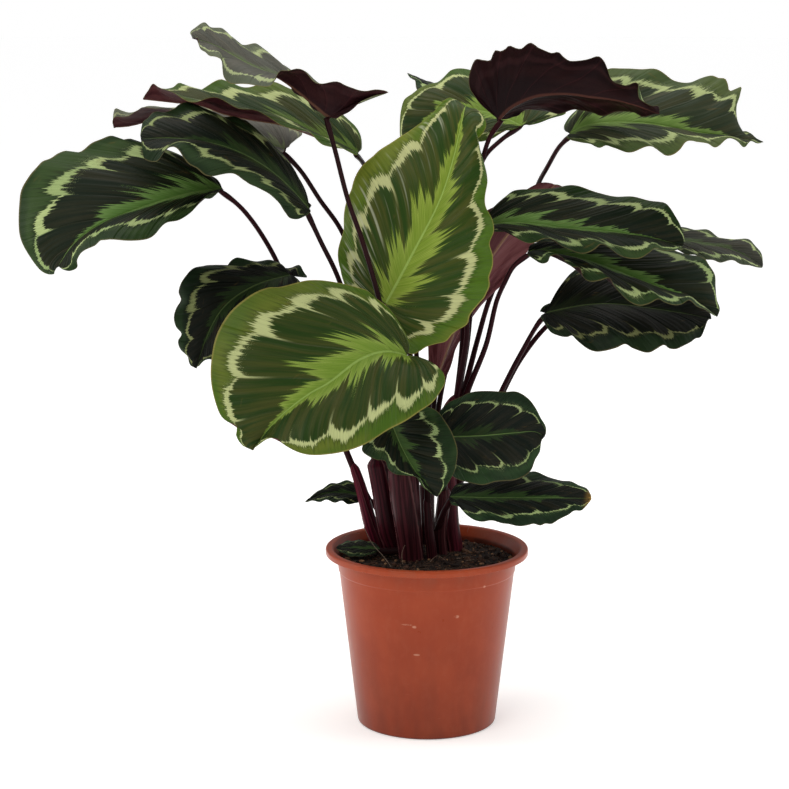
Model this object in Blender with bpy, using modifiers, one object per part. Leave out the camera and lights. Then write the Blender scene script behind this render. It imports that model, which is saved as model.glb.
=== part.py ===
"""Potted calathea: a nursery pot filled with soil, eight shoots with their leaf stalks, and 25 blades.

The plant is laid out on a front view. A point such as (222, 189, -30) is where the view shows it, 222 across
and 189 down, and its depth in mm, with minus towards the viewer. `seen` turns it into a place in metres.
"""

import math

import bmesh
import bpy
import numpy as np

NAME = "potted_calathea"
MM = 0.001

VIEW_PLACE = np.array([0.0, -2208.0, 744.4])
VIEW_TILT = math.radians(10.26)
VIEW_TURN = math.radians(-0.87)
VIEW_ZOOM = 2191.7
VIEW_CENTRE = 394.5

POT_HEIGHT = 185.0
BASE_RADIUS = 73.0
NECK_RADIUS = 93.5
RIM_RADIUS = 105.0
RIM_DROP = 6.5
LIP_WIDTH = 7.5
STEP_HEIGHT = 0.87
STEP_DEPTH = 0.7
WALL = 1.6
FLOOR = 2.2
POT_SIDES = 40
DRAIN_RADIUS = 4.0
DRAIN_CIRCLE = 50.0
DRAINS = 6

SOIL_TOP = 172.0
GAP = 0.4
ROOT_DEPTH = 30.0

BLADE_THICKNESS = 0.8
BLADE_ENDS = (0.03, 0.975)
VEIN_SWEEP = 2.4
CURVE_SAMPLES = 500
RIB_SAMPLES = 121
MARGIN_SAMPLES = 241
STALK_RADIUS = 2.9
STALK_TIP_RADIUS = 2.3
STALK_POINTS = 12

POT_COLOUR = (0.36, 0.085, 0.035)
SOIL_COLOUR = (0.030, 0.018, 0.012)
STALK_COLOUR = (0.045, 0.010, 0.014)
BLADE_COLOUR = (0.020, 0.060, 0.018)
YOUNG_COLOUR = (0.130, 0.260, 0.035)
YOUNG = ("leaf_07", "leaf_08")

# Blades: the midrib from the stalk to the tip, and the left and right margins seen from above the leaf
LEAVES = {
    "leaf_01": dict(
        rib=[
            (222, 189, -30), (190, 194, -47), (160, 202, -60), (130, 212, -73), (100, 225, -85),
            (75, 243, -95), (58, 267, -103),
        ],
        left=[
            (219, 191, -38), (210, 198, -55), (202, 202, -68), (192, 210, -83), (180, 218, -98),
            (162, 229, -117), (153, 234, -124), (141, 238, -130), (129, 240.5, -134), (115, 242, -136),
            (106, 242, -136), (100, 240.5, -134), (92, 244, -128), (85, 249.5, -121), (81, 254, -117),
            (78, 261, -114), (78, 268, -112), (70, 271, -110), (61, 268.5, -106),
        ],
        right=[
            (219, 183, -20), (215, 177, -10), (204, 174, 0), (180, 157, 8), (160, 146, 10), (139, 141, 8),
            (131, 139, 6), (120, 142, 3), (112, 138, 1), (100, 140.5, -1), (92, 142.5, -3), (80, 150.5, -8),
            (72, 150.5, -11), (66, 149, -14), (58, 152, -18), (50, 159, -24), (43, 163, -28), (38, 169, -33),
            (30, 177, -39), (21, 189, -46), (18.5, 205, -54), (18.5, 225, -63), (21, 238, -69),
            (30, 256, -80), (40, 270, -90), (49, 274, -97), (56, 272.5, -102),
        ],
        veins=8,
        scallop=0.0,
        wave=3,
        bulge=(0.08, 0.08),
    ),
    "leaf_02": dict(
        rib=[(309, 209, -60), (272, 172, -80), (228, 148, -100), (182, 139, -115), (140, 139, -125)],
        left=[
            (310, 212, -68), (307, 215, -73), (303, 217, -78), (298, 219, -83), (291, 217.5, -90),
            (287, 212.5, -94), (281, 207, -100), (274, 201, -106), (267, 192.5, -112), (260, 187.5, -117),
            (251, 183, -124), (246, 180, -128), (234, 176, -135), (224, 175.5, -140), (211, 175, -146),
            (205, 173, -148), (197, 167, -151), (189, 163.5, -153), (184, 159, -154), (178, 152, -155),
            (174, 149.5, -155), (168, 149.5, -155), (163, 153, -155), (159, 158, -155), (155, 160, -153),
            (148, 160, -149), (144, 158, -146), (142.5, 152, -141), (142, 145, -134),
        ],
        right=[
            (312, 207, -55), (308, 202.5, -51), (303, 199.5, -47), (298, 196, -43), (298.5, 189, -38),
            (297.5, 184, -35), (294, 175, -32), (288, 167, -29), (283, 158, -27), (277, 149.5, -25),
            (271, 142, -26), (264, 136.5, -28), (260, 131.5, -29), (250, 128, -31), (245, 123, -33),
            (240, 121, -35), (234, 117, -38), (224, 116.5, -42), (215, 114, -46), (210, 110, -48),
            (205, 107, -50), (190, 104.5, -60), (179, 106, -66), (174, 109, -70), (165, 111, -75),
            (156, 110.5, -84), (152, 112.5, -90), (148, 118, -98), (143, 123, -106), (141, 131.5, -114),
        ],
        scallop=0.0,
        bulge=(0.1, 0.1),
    ),
    "leaf_03": dict(
        rib=[
            (284, 150, 25), (240, 134, 25), (190, 122, 20), (150, 121, 15), (133, 125, 12), (113, 128, 10),
        ],
        left=[
            (280, 153, 5), (265, 150, -12), (235, 148, -20), (200, 130, -25), (167, 108, -25),
            (155, 107, -22), (143, 107, -18), (138, 112, -12), (130, 116, -6), (114, 117, 4),
        ],
        right=[
            (288, 149, 28), (290, 145, 34), (296, 140, 44), (302, 134, 55), (285, 118, 75), (240, 110, 78),
            (190, 106, 65), (150, 108, 45), (137, 111, 32), (129, 112, 25), (121, 110, 18), (115, 108.5, 12),
        ],
        scallop=0.0,
    ),
    "leaf_04": dict(
        rib=[
            (358, 153, -5), (335, 144, -8), (283, 125, -15), (249, 119, -20), (222, 113, -25),
            (200, 105, -30), (172, 102, -35), (142, 99, -42),
        ],
        left=[
            (357, 155, -15), (350, 151, -25), (343, 150, -35), (337, 150, -42), (325, 143, -50),
            (308, 134, -57), (302, 133, -58), (290, 127, -62), (276, 121, -66), (255, 112, -70),
            (241, 107, -72), (229, 102, -74), (210, 100, -75), (194, 99.5, -75), (182, 98, -74),
            (172, 94, -72), (164, 90, -70), (158, 86, -65), (153, 83, -58), (148, 91, -50),
        ],
        right=[
            (362, 148, 5), (361, 138, 15), (356, 129, 22), (350, 121, 28), (345, 115, 33), (335, 108, 38),
            (300, 90, 42), (272, 84, 40), (240, 85, 34), (225, 83, 32), (220, 81, 30), (214, 82, 28),
            (205, 86, 25), (199, 89, 22), (194, 88, 20), (185, 86, 17), (179, 84, 14), (173, 88.5, 9),
            (165, 89, 3), (158, 87, -4), (151, 91, -18),
        ],
        bulge=(0.05, 0.08),
        scallop=0.0,
        waves=6,
    ),
    "leaf_05": dict(
        rib=[
            (329, 118, -90), (306, 98, -88), (281, 79, -85), (245, 62, -82), (216, 46, -83), (192, 38, -92),
        ],
        left=[
            (334, 120, -93), (341, 116, -98), (349, 112, -102), (355, 107, -106), (360, 102, -109),
            (366, 99, -112), (374, 96, -115), (388, 93, -120), (377, 89, -123), (366, 90, -125),
            (352, 89, -128), (344, 87, -130), (336, 82, -131), (320, 82, -132), (314, 80, -132),
            (304, 72, -131), (297, 70, -130), (288, 71.5, -128), (280, 71, -126), (276, 77, -124),
            (272, 84, -122), (261, 86, -121), (250, 86, -121), (240, 85, -120), (231, 83, -118),
            (225, 76, -116), (223, 68, -115), (221, 60.5, -113), (214, 58, -112), (209, 57, -110),
            (205, 52, -107), (201, 49, -105), (199, 43, -102), (198, 37, -99), (194, 39, -95),
        ],
        right=[
            (320, 112, -80), (302, 98, -62), (290, 84, -48), (287, 71, -42), (283, 64, -42),
            (273, 60, -42), (268, 54, -44), (261, 50, -45), (255, 43, -46), (240, 43, -50),
            (230, 38, -53), (223, 27, -56), (210, 27.5, -62), (204, 23, -68), (196, 27, -78),
            (190.5, 32, -86),
        ],
        waves=6,
        wave=2,
        scallop=0.0,
        rows=18,
    ),
    "leaf_06": dict(
        rib=[(290, 275, 0), (250, 288, -25), (220, 312, -45), (196, 369, -60)],
        left=[
            (303, 288, -20), (292, 330, -50), (260, 362, -70), (230, 370, -75), (213, 360, -72),
            (204, 360, -67),
        ],
        right=[
            (300, 277, 6), (308, 277, 10), (303, 272, 13), (299, 267, 15), (291, 268, 15), (283, 266, 14),
            (278, 261, 13), (270, 258, 11), (262, 260, 9), (255, 263, 7), (246, 263, 4), (241, 260, 1),
            (236, 258, -2), (231, 260, -4), (226, 265, -7), (219, 263.5, -10), (209, 264, -14),
            (202, 267, -18), (194, 270, -21), (187, 276, -25), (181, 283, -29), (178, 292, -33),
            (180, 299, -36), (176, 307, -38), (174.5, 317, -42), (177, 327, -45), (182, 334, -48),
            (178, 341, -51), (180, 349, -53), (187, 356, -55), (189, 363, -57), (193, 368, -59),
        ],
        scallop=0.0,
        wave=4,
        veins=9,
    ),
    "leaf_07": dict(
        rib=[
            (386, 303, -5), (412, 255, -15), (440, 200, -12), (453, 160, -2), (461, 125, 10),
            (465, 107, 28), (467, 111, 48),
        ],
        left=[
            (365, 312, 5), (345, 285, 12), (338, 255, 16), (342, 228, 17), (348, 196, 14), (361, 166, 12),
            (375, 153, 13), (390, 144, 15), (400, 137, 17), (411, 130, 20), (421, 122, 20), (432, 112, 22),
            (444, 101, 27), (450, 98.5, 32), (457, 102, 40),
        ],
        right=[
            (400, 342, -10), (408, 353, -13), (413, 355, -14), (420, 352.5, -16), (427, 347, -18),
            (437, 343.5, -19), (446, 341.5, -19), (453, 334.5, -18), (462, 329.5, -17), (468, 324, -16),
            (470, 315, -15), (479, 304, -14), (486, 297, -12), (490, 286, -11), (489, 277, -10),
            (493, 266, -10), (493.5, 255, -9), (490.5, 244, -8), (494, 231, -7), (492, 219, -6),
            (485.5, 207, -4), (485, 195, -3), (487.5, 180, -1), (486, 165, 1),
            (480, 151, 4), (476, 141, 8), (482, 134, 12), (486, 126, 17), (484, 118, 23), (477, 110, 34),
        ],
        bulge=(0.06, 0.1),
        wave=1.5,
        scallop=0.01,
    ),
    "leaf_08": dict(
        rib=[
            (407, 356, -70), (385, 352, -84), (360, 360, -99), (329, 383, -118), (308, 395, -129),
            (277, 420, -141), (252, 451, -150),
        ],
        left=[
            (416, 361, -74), (424, 362, -77), (430, 368, -80), (437, 371, -83), (443, 372, -86),
            (445.5, 381, -93), (440, 392, -104), (431, 404, -116), (414, 415.5, -127), (390, 429, -140),
            (362, 446, -150), (340, 452, -156), (315, 455.5, -163), (300, 453, -165), (286, 446, -163),
            (276, 438, -160), (268, 438, -158), (259, 445, -154),
        ],
        right=[
            (409, 344, -62), (401, 326, -58), (390, 309, -56), (376.5, 298, -57), (367, 290, -60),
            (355, 287, -63), (340, 284, -67), (320, 280, -73), (307, 280, -77), (295, 283, -81),
            (279, 287, -86), (269, 287.5, -89), (259, 291, -92), (244, 300, -98), (229, 313, -105),
            (217, 334, -114), (212, 355, -121), (211, 379, -129), (215, 401, -136), (221, 416, -140),
            (228, 422, -143), (235, 424.5, -145), (237, 429, -146), (236, 435, -147), (242, 445, -149),
        ],
        bulge=(0.1, 0.06),
        wave=1.5,
        scallop=0.0,
    ),
    "leaf_09": dict(
        rib=[(521, 126, 70), (485, 112, 80), (440, 112, 80), (405, 145, 65)],
        left=[(505, 132, 55), (480, 142, 45), (450, 150, 40), (420, 157, 46)],
        right=[
            (545, 121, 85), (566, 113, 100), (540, 92, 130), (500, 78, 140), (470, 70, 138), (453, 72, 134),
            (445, 77, 130), (437, 81, 126), (430, 82, 122), (420, 87, 116), (412, 94, 109), (405, 100, 103),
            (402, 110, 97), (399.5, 125, 86), (400, 137, 76),
        ],
        scallop=0.0,
    ),
    "leaf_10": dict(
        rib=[
            (499, 120, -3), (511, 108, -10), (535, 97, -18), (565, 94, -28), (590, 97, -33),
            (620, 101, -38), (660, 114, -43),
        ],
        left=[
            (507, 119, 12), (515, 115, 22), (525, 112, 32), (540, 111, 30), (580, 112, 24), (600, 113, 14),
            (630, 113, 0), (648, 115, -18),
        ],
        right=[
            (487, 110, -16), (480, 103, -25), (474, 95, -33), (470, 89, -38), (469, 80, -43), (471, 70, -48),
            (476, 60, -52), (483, 60, -54), (490, 59, -55), (493, 52, -57), (496, 48, -57), (500, 50, -57),
            (505, 49, -58), (509, 46, -58), (515, 49, -58), (521, 50, -59), (526, 46, -60), (530, 44, -60),
            (534, 46, -60), (538, 49, -61), (545, 51, -62), (552, 52, -62), (559, 50, -63), (564, 55, -63),
            (570, 60, -64), (580, 61, -65), (588, 60, -65), (598, 57.5, -66), (603, 62, -66), (607, 70, -66),
            (612, 79, -66), (620, 82, -66), (628, 84, -65), (634, 82, -63), (638, 83, -62), (638, 92, -60),
            (639, 99, -58), (645, 104, -55), (652, 107, -51), (658, 106, -47),
        ],
        scallop=0.0,
        wave=2.5,
        veins=9,
    ),
    "leaf_11": dict(
        rib=[
            (570, 134, 20), (590, 125, 18), (640, 123, 15), (700, 133, 15), (735, 138, 17), (764, 142, 20),
        ],
        left=[
            (564, 128, 35), (569, 120, 42), (578, 108, 48), (590, 90, 55), (600, 78, 58), (608, 70, 60),
            (620, 68, 60), (632, 67, 60), (645, 69, 61), (655, 71, 62), (665, 76, 62), (672, 79, 62),
            (680, 80, 61), (692, 81, 60), (700, 79, 60), (712, 77, 58), (718, 79, 57), (725, 79, 54),
            (728, 84, 51), (730, 90, 48), (736, 88, 46), (742, 86, 44), (741, 91, 42), (739, 98, 40),
            (736, 106, 38), (736, 123, 34), (738, 131, 30), (746, 130, 28), (747, 135, 26), (751, 139, 23),
        ],
        right=[
            (567, 138, 12), (572, 141, 8), (580, 142, 2), (590, 143, -3), (600, 148, -10), (606, 147, -13),
            (612, 149, -16), (625, 150, -19), (651, 149, -24), (658, 151, -25), (666, 154, -26),
            (673, 153, -25), (680, 149, -23), (686, 143, -21), (697, 144, -18), (709, 141, -14),
            (717, 146, -11), (728, 141, -6), (738, 141, -1), (745, 146, 5), (750, 141, 8), (757, 144, 14),
        ],
        scallop=0.0,
        wave=3,
        waves=5.5,
    ),
    "leaf_12": dict(
        rib=[
            (480, 226, 45), (505, 223, 37), (535, 224, 27), (562, 228, 17), (601, 231, 3), (640, 236, -10),
            (684, 246, -22),
        ],
        left=[
            (487, 217, 51), (492, 210, 55), (497, 204, 59), (502, 200, 62), (508, 196, 64), (514, 192, 65),
            (522, 190, 65), (533, 189, 63), (549, 187, 60), (570, 187, 56), (582, 188, 53), (599, 192, 46),
            (628, 198, 32), (649, 200, 20), (660, 201, 14), (666, 203, 9), (671, 209, 3), (675.5, 217, -3),
            (679.5, 224, -9), (684, 236, -16),
        ],
        right=[
            (487, 230, 35), (497, 232, 25), (510, 234, 12), (518, 239, 2), (529, 241, -7), (545, 240, -17),
            (553, 242, -22), (562, 247, -28), (572, 250, -33), (582, 251, -38), (595, 249, -43),
            (601, 246.5, -45), (611, 251, -49), (620, 255.5, -52), (630, 257.5, -55), (640, 256.5, -56),
            (649, 252, -55), (655, 249, -52), (661, 252, -49), (670, 251, -42), (678, 249, -34),
        ],
        scallop=0.0,
    ),
    "leaf_13": dict(
        rib=[
            (528, 252, 15), (556, 254, 10), (586, 260, 5), (609, 268, -2), (640, 280, -12),
            (663, 289, -18), (690, 300, -22), (718, 317, -25),
        ],
        left=[
            (530, 246, 23), (537, 243, 28), (547, 241, 33), (560, 240, 38), (610, 240, 48), (660, 246, 38),
            (688, 253.5, 25), (703, 259.5, 16), (707.5, 265, 12), (715, 274, 4), (716, 286.5, -4),
            (717, 300, -13), (719.5, 309, -20),
        ],
        right=[
            (528, 256, 8), (531, 258, 3), (541, 262, -8), (548, 260, -14), (550, 256, -17), (555, 255, -21),
            (562, 258.5, -26), (567, 265, -30), (573, 268.5, -33), (580, 268, -36), (584, 275, -39),
            (591, 279, -43), (601, 280.5, -47), (609, 280, -50), (613, 286.5, -53), (620, 294, -56),
            (628, 300, -58), (640, 303, -60), (650, 302.5, -60), (658, 300.5, -59), (663, 304, -60),
            (673, 306, -60), (682, 304, -57), (690, 299, -53), (698, 305, -49), (704, 309, -45),
            (709, 314, -39),
        ],
        scallop=0.0,
    ),
    "leaf_14": dict(
        rib=[(436, 383, 45), (462, 315, 60), (500, 245, 76), (556, 184, 90)],
        left=[
            (447, 375, 55), (466, 327, 75), (490, 296, 88), (524, 258, 102), (548, 222, 110),
            (566, 192, 105),
        ],
        right=[
            (428, 365, 55), (432, 318, 80), (455, 262, 98), (482, 217, 112), (508, 198, 115),
            (540, 184, 108),
        ],
    ),
    "leaf_15": dict(
        rib=[(655, 236, 68), (700, 243, 63), (735, 251, 58), (763, 267, 53)],
        left=[
            (660, 226, 78), (680, 227, 86), (690, 228, 88), (703, 230, 87), (711, 233, 86), (721, 237, 83),
            (734, 240, 79), (744, 239.5, 77), (750, 240, 74), (755, 244, 70), (759, 250, 66), (762, 257, 60),
        ],
        right=[
            (665, 246, 58), (690, 254, 43), (702, 259, 38), (714, 259.5, 34), (721, 262, 33),
            (736, 261.5, 34), (746, 264.5, 36), (754, 267, 41), (760, 268, 47),
        ],
        veins=7,
        wave=1.5,
        scallop=0.0,
    ),
    "leaf_16": dict(
        rib=[(546, 313, 55), (600, 304, 45), (655, 309, 35), (712, 319, 30)],
        left=[
            (540, 312, 58), (543, 307, 61), (549, 304.5, 64), (554, 303.5, 67), (557, 296, 71),
            (560, 288, 76), (564, 281, 81), (572, 273, 85), (590, 265, 90), (640, 268, 85), (690, 290, 65),
            (703, 302, 52), (708, 310, 42),
        ],
        right=[
            (541, 317, 50), (545, 324, 42), (550, 331, 34), (558.5, 335, 24), (568, 337, 15), (572, 336.5, 12),
            (578, 342.5, 7), (586, 347.5, 3), (595, 350, 1), (605, 350, -1), (616.5, 348, -4),
            (625, 345.5, -6), (632, 349.5, -8), (642, 351, -10), (650, 350.5, -10), (657, 347.5, -10),
            (664, 345, -9), (669, 349, -8), (675.5, 350, -7), (682, 347.5, -4), (690, 342.5, 1),
            (696, 337, 6), (701, 336, 9), (704.5, 329, 14), (707.5, 321, 21),
        ],
        scallop=0.0,
        wave=2.5,
    ),
    "leaf_17": dict(
        rib=[(440, 437, -25), (480, 436, -45), (515, 433, -60), (535, 432, -67), (545, 437, -71)],
        left=[
            (437, 418, -22), (447, 404, -18), (461, 396, -15), (479, 391.5, -15), (497, 391, -18),
            (516, 392.5, -25), (528, 398, -33), (535, 407, -43), (541, 419, -54), (546, 428, -64),
        ],
        right=[
            (438, 455, -40), (446, 470, -53), (459, 480, -68), (478, 484, -80), (500, 482, -88),
            (520, 478, -92), (531, 470, -92), (535, 461, -90), (540, 451, -84), (541, 441, -77),
        ],
        veins=7,
        wave=1.5,
        scallop=0.0,
    ),
    "leaf_18": dict(
        rib=[(392, 424, -60), (402, 448, -78), (416, 472, -90), (437, 497, -98)],
        left=[
            (405, 411, -65), (420, 407, -68), (434, 409, -74), (446, 422, -82), (453, 435, -89),
            (457.5, 452, -95), (456, 466, -99), (450, 480, -101), (443, 490, -101),
        ],
        right=[
            (380, 428, -58), (365, 442, -64), (361.5, 449.5, -68), (368, 456, -73), (377, 460, -77),
            (385, 461, -80), (388, 469, -84), (395, 474, -87), (407, 475.5, -91), (417, 477, -94),
            (422, 486, -96),
        ],
        veins=7,
        wave=1.5,
        scallop=0.0,
    ),
    "leaf_19": dict(
        rib=[(450, 497, -35), (495, 498, -55), (545, 498, -70), (592, 499, -80)],
        left=[
            (455, 487, -20), (480, 479, -5), (510, 474, -8), (532, 473, -15), (550, 477, -28),
            (567, 481, -42), (577, 485.5, -53), (586, 487, -62), (590, 493, -72),
        ],
        right=[
            (452, 505, -43), (460, 507, -50), (466, 514, -58), (476, 520.5, -68), (484, 523, -74),
            (494, 520, -81), (505, 523, -88), (519, 527, -94), (528, 526, -98), (534, 523.5, -100),
            (540, 524, -101), (545, 522, -102), (552, 524, -101), (559, 521, -100), (568, 515, -98),
            (574, 510, -96), (581, 510, -94), (586, 506, -89),
        ],
        veins=7,
        wave=2,
        scallop=0.0,
    ),
    "leaf_20": dict(
        rib=[(366, 497, 60), (345, 493, 58), (325, 494, 55), (305, 502, 50)],
        left=[(354, 504, 50), (340, 502, 40), (322, 501, 42)],
        right=[(362, 484, 70), (345, 481, 72), (328, 485, 65), (314, 494, 56)],
        veins=5,
        wave=1,
        rows=10,
        columns=4,
    ),
    "leaf_21": dict(
        rib=[(380, 549, 0), (358, 548, 0), (336, 548, 0)],
        left=[(372, 554, -10), (355, 557, -14), (342, 553, -8)],
        right=[(372, 542, 15), (355, 540, 18), (342, 543, 10)],
        veins=5,
        wave=0.6,
        pleat=0.3,
        rows=10,
        columns=4,
    ),
    "leaf_22": dict(
        rib=[(474, 150, 150), (460, 115, 185), (438, 90, 205), (407, 73, 210)],
        left=[(466, 152, 140), (445, 124, 145), (425, 100, 160), (414, 82, 185)],
        right=[(478, 135, 170), (470, 100, 225), (447, 88, 245), (420, 82, 235)],
    ),
    "leaf_23": dict(
        rib=[(415, 250, 120), (418, 200, 170), (421, 190, 225), (424, 228, 280)],
        left=[(385, 245, 130), (365, 215, 175), (365, 205, 225), (390, 215, 270)],
        right=[(445, 245, 130), (470, 215, 175), (475, 205, 225), (455, 215, 270)],
    ),
    "leaf_24": dict(
        rib=[(372, 402, 110), (335, 350, 150), (290, 340, 195), (248, 375, 235)],
        left=[(352, 398, 108), (315, 400, 130), (270, 405, 180), (250, 395, 215)],
        right=[(378, 380, 125), (365, 325, 180), (310, 300, 225), (262, 320, 250)],
    ),
    "leaf_25": dict(
        rib=[(500, 237, 165), (550, 226, 205), (600, 222, 245), (655, 233, 280)],
        left=[(505, 225, 185), (530, 212, 235), (585, 208, 280), (635, 218, 298)],
        right=[(510, 242, 150), (555, 240, 155), (610, 238, 195), (645, 240, 245)],
    ),
}

# Shoots: a round sheath from its hole in the soil, and the stalk that runs from it to each blade
SHOOTS = {
    "shoot_1": dict(
        base=(-53, 43),
        radius=9,
        top=5,
        sheath=[(370, 522, 43), (360, 485, 42), (352, 462, 41)],
        stalks={
            "leaf_01": [
                (368, 500, 43), (352, 465, 42), (325, 395, 40), (298, 320, 34), (277, 262, 24),
                (245, 212, -8),
            ],
            "leaf_20": [(378, 530, 46), (377, 508, 57)],
        },
    ),
    "shoot_2": dict(
        base=(-32, 25),
        radius=12,
        top=12,
        sheath=[(390, 530, 25), (383, 490, 25), (377, 455, 25)],
        stalks={
            "leaf_02": [
                (385, 500, 25), (378, 450, 20), (365, 370, 0), (339, 280, -35), (320, 240, -50),
            ],
            "leaf_03": [
                (385, 500, 25), (383, 450, 29), (380, 380, 34), (365, 300, 40), (342, 232, 40),
                (320, 200, 36), (300, 170, 30),
            ],
            "leaf_06": [(384, 500, 25), (372, 450, 25), (350, 390, 17), (318, 320, 8)],
            "leaf_24": [(387, 500, 28), (386, 460, 45), (383, 432, 84)],
        },
    ),
    "shoot_3": dict(
        base=(-16, -2),
        radius=13,
        top=16,
        sheath=[(409, 530, -2), (405, 490, -2), (403, 462, -3)],
        stalks={
            "leaf_08": [(405, 500, 0), (406, 450, -15), (412, 390, -45)],
            "leaf_05": [
                (404, 500, -1), (400, 430, -8), (391, 350, -20), (378, 295, -36), (362, 240, -52),
                (348, 200, -65), (335, 150, -82),
            ],
            "leaf_07": [(406, 500, 0), (404, 450, 5), (400, 400, 10), (393, 335, 8)],
            "leaf_21": [(408, 550, 0), (396, 551, 0)],
        },
    ),
    "shoot_4": dict(
        base=(5, 1),
        radius=6,
        top=4,
        sheath=[(429, 530, 1), (427, 495, 1)],
        stalks={
            "leaf_18": [(428, 520, 4), (426, 470, -8), (418, 432, -32), (404, 417, -50)],
        },
    ),
    "shoot_5": dict(
        base=(15, 16),
        radius=7.5,
        top=6.5,
        sheath=[(440, 535, 15), (443, 508, 13), (445, 486, 9)],
        stalks={
            "leaf_17": [(439, 525, 14), (444, 490, 8), (445, 460, -4)],
            "leaf_19": [(438, 530, 14), (444, 512, -8)],
        },
    ),
    "shoot_6": dict(
        base=(27, 35),
        radius=11,
        top=9,
        sheath=[(450, 530, 35), (448, 490, 34), (447, 445, 33), (455, 395, 33)],
        stalks={
            "leaf_10": [
                (449, 440, 33), (457, 395, 32), (467, 330, 26), (463, 290, 25), (464, 240, 30),
                (470, 200, 24), (482, 160, 16), (490, 137, 8),
            ],
            "leaf_09": [
                (449, 445, 33), (457, 395, 34), (463, 330, 38), (461, 290, 44), (466, 240, 58),
                (474, 190, 44), (484, 158, 38), (500, 141, 52),
            ],
            "leaf_12": [
                (449, 445, 33), (459, 390, 35), (467, 345, 40), (470, 317, 43), (473, 285, 47),
                (477, 250, 50),
            ],
            "leaf_13": [
                (450, 445, 33), (468, 390, 33), (486, 345, 32), (497, 300, 28), (505, 282, 22),
                (514, 266, 18),
            ],
            "leaf_11": [
                (449, 450, 33), (465, 388, 40), (478, 338, 76), (490, 298, 112), (506, 262, 126),
                (524, 225, 140), (537, 187, 124), (548, 166, 84), (560, 146, 45),
            ],
            "leaf_16": [
                (449, 510, 35), (462, 475, 38), (483, 432, 42), (502, 390, 45), (520, 355, 49),
                (541, 320, 54),
            ],
            "leaf_15": [
                (449, 505, 36), (466, 470, 42), (486, 432, 47), (503, 392, 53), (522, 357, 62),
                (548, 325, 80), (575, 307, 100), (612, 280, 112), (640, 252, 92),
            ],
        },
    ),
    "shoot_7": dict(
        base=(0, 60),
        radius=10,
        top=8,
        sheath=[(427, 530, 60), (427, 480, 60)],
        stalks={
            "leaf_04": [
                (427, 500, 60), (421, 430, 58), (408, 340, 55), (395, 260, 52), (381, 200, 46),
                (370, 176, 40), (363, 163, 24),
            ],
            "leaf_14": [(427, 500, 60), (431, 440, 50), (434, 404, 36)],
            "leaf_23": [(426, 500, 61), (420, 420, 78), (415, 320, 102), (414, 275, 118)],
            "leaf_25": [
                (428, 500, 61), (434, 440, 78), (446, 370, 108), (462, 325, 132), (484, 280, 155),
            ],
        },
    ),
    "shoot_8": dict(
        base=(-22, 70),
        radius=9,
        top=5,
        sheath=[(407, 525, 71), (410, 480, 73)],
        stalks={
            "leaf_22": [(409, 500, 72), (430, 400, 88), (453, 300, 115), (468, 200, 140)],
        },
    ),
}


def seen(point):
    """The place in mm of a point that is given by where the front view shows it and by its depth."""
    across, down, depth = point
    forward = np.array(
        [
            math.sin(VIEW_TURN) * math.cos(VIEW_TILT),
            math.cos(VIEW_TURN) * math.cos(VIEW_TILT),
            -math.sin(VIEW_TILT),
        ]
    )
    right = np.array([math.cos(VIEW_TURN), -math.sin(VIEW_TURN), 0.0])
    up = np.cross(right, forward)
    ray = forward + right * (across - VIEW_CENTRE) / VIEW_ZOOM + up * (VIEW_CENTRE - down) / VIEW_ZOOM
    return VIEW_PLACE + ray * (depth - VIEW_PLACE[1]) / ray[1]


def unit(vectors):
    return vectors / np.linalg.norm(vectors, axis=-1, keepdims=True)


def smooth_curve(points, count):
    """Evenly spaced points on a smooth curve through the given ones (a centripetal Catmull-Rom spline)."""
    p = np.array(points, float)
    gaps = np.linalg.norm(np.diff(p, axis=0), axis=1) ** 0.5
    knots = np.concatenate([[0.0], np.cumsum(gaps)])
    slopes = np.diff(p, axis=0) / gaps[:, None]
    bends = np.empty_like(p)
    weights = (gaps[:-1] + gaps[1:])[:, None]
    bends[1:-1] = (slopes[:-1] * gaps[1:, None] + slopes[1:] * gaps[:-1, None]) / weights
    bends[0] = 1.5 * slopes[0] - 0.5 * bends[1]
    bends[-1] = 1.5 * slopes[-1] - 0.5 * bends[-2]
    u = np.linspace(0.0, knots[-1], CURVE_SAMPLES)
    k = np.clip(np.searchsorted(knots, u, side="right") - 1, 0, len(gaps) - 1)
    x = ((u - knots[k]) / gaps[k])[:, None]
    h = gaps[k][:, None]
    fine = (2 * x**3 - 3 * x**2 + 1) * p[k] + (3 * x**2 - 2 * x**3) * p[k + 1]
    fine += (x**3 - 2 * x**2 + x) * h * bends[k] + (x**3 - x**2) * h * bends[k + 1]
    run = np.concatenate([[0.0], np.cumsum(np.linalg.norm(np.diff(fine, axis=0), axis=1))])
    return at(fine, np.linspace(0.0, 1.0, count), run / run[-1])


def at(curve, where, steps=None):
    """Points on a curve at fractions of its length."""
    steps = np.linspace(0.0, 1.0, len(curve)) if steps is None else steps
    return np.stack([np.interp(where, steps, curve[:, i]) for i in range(3)], axis=-1)


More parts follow.
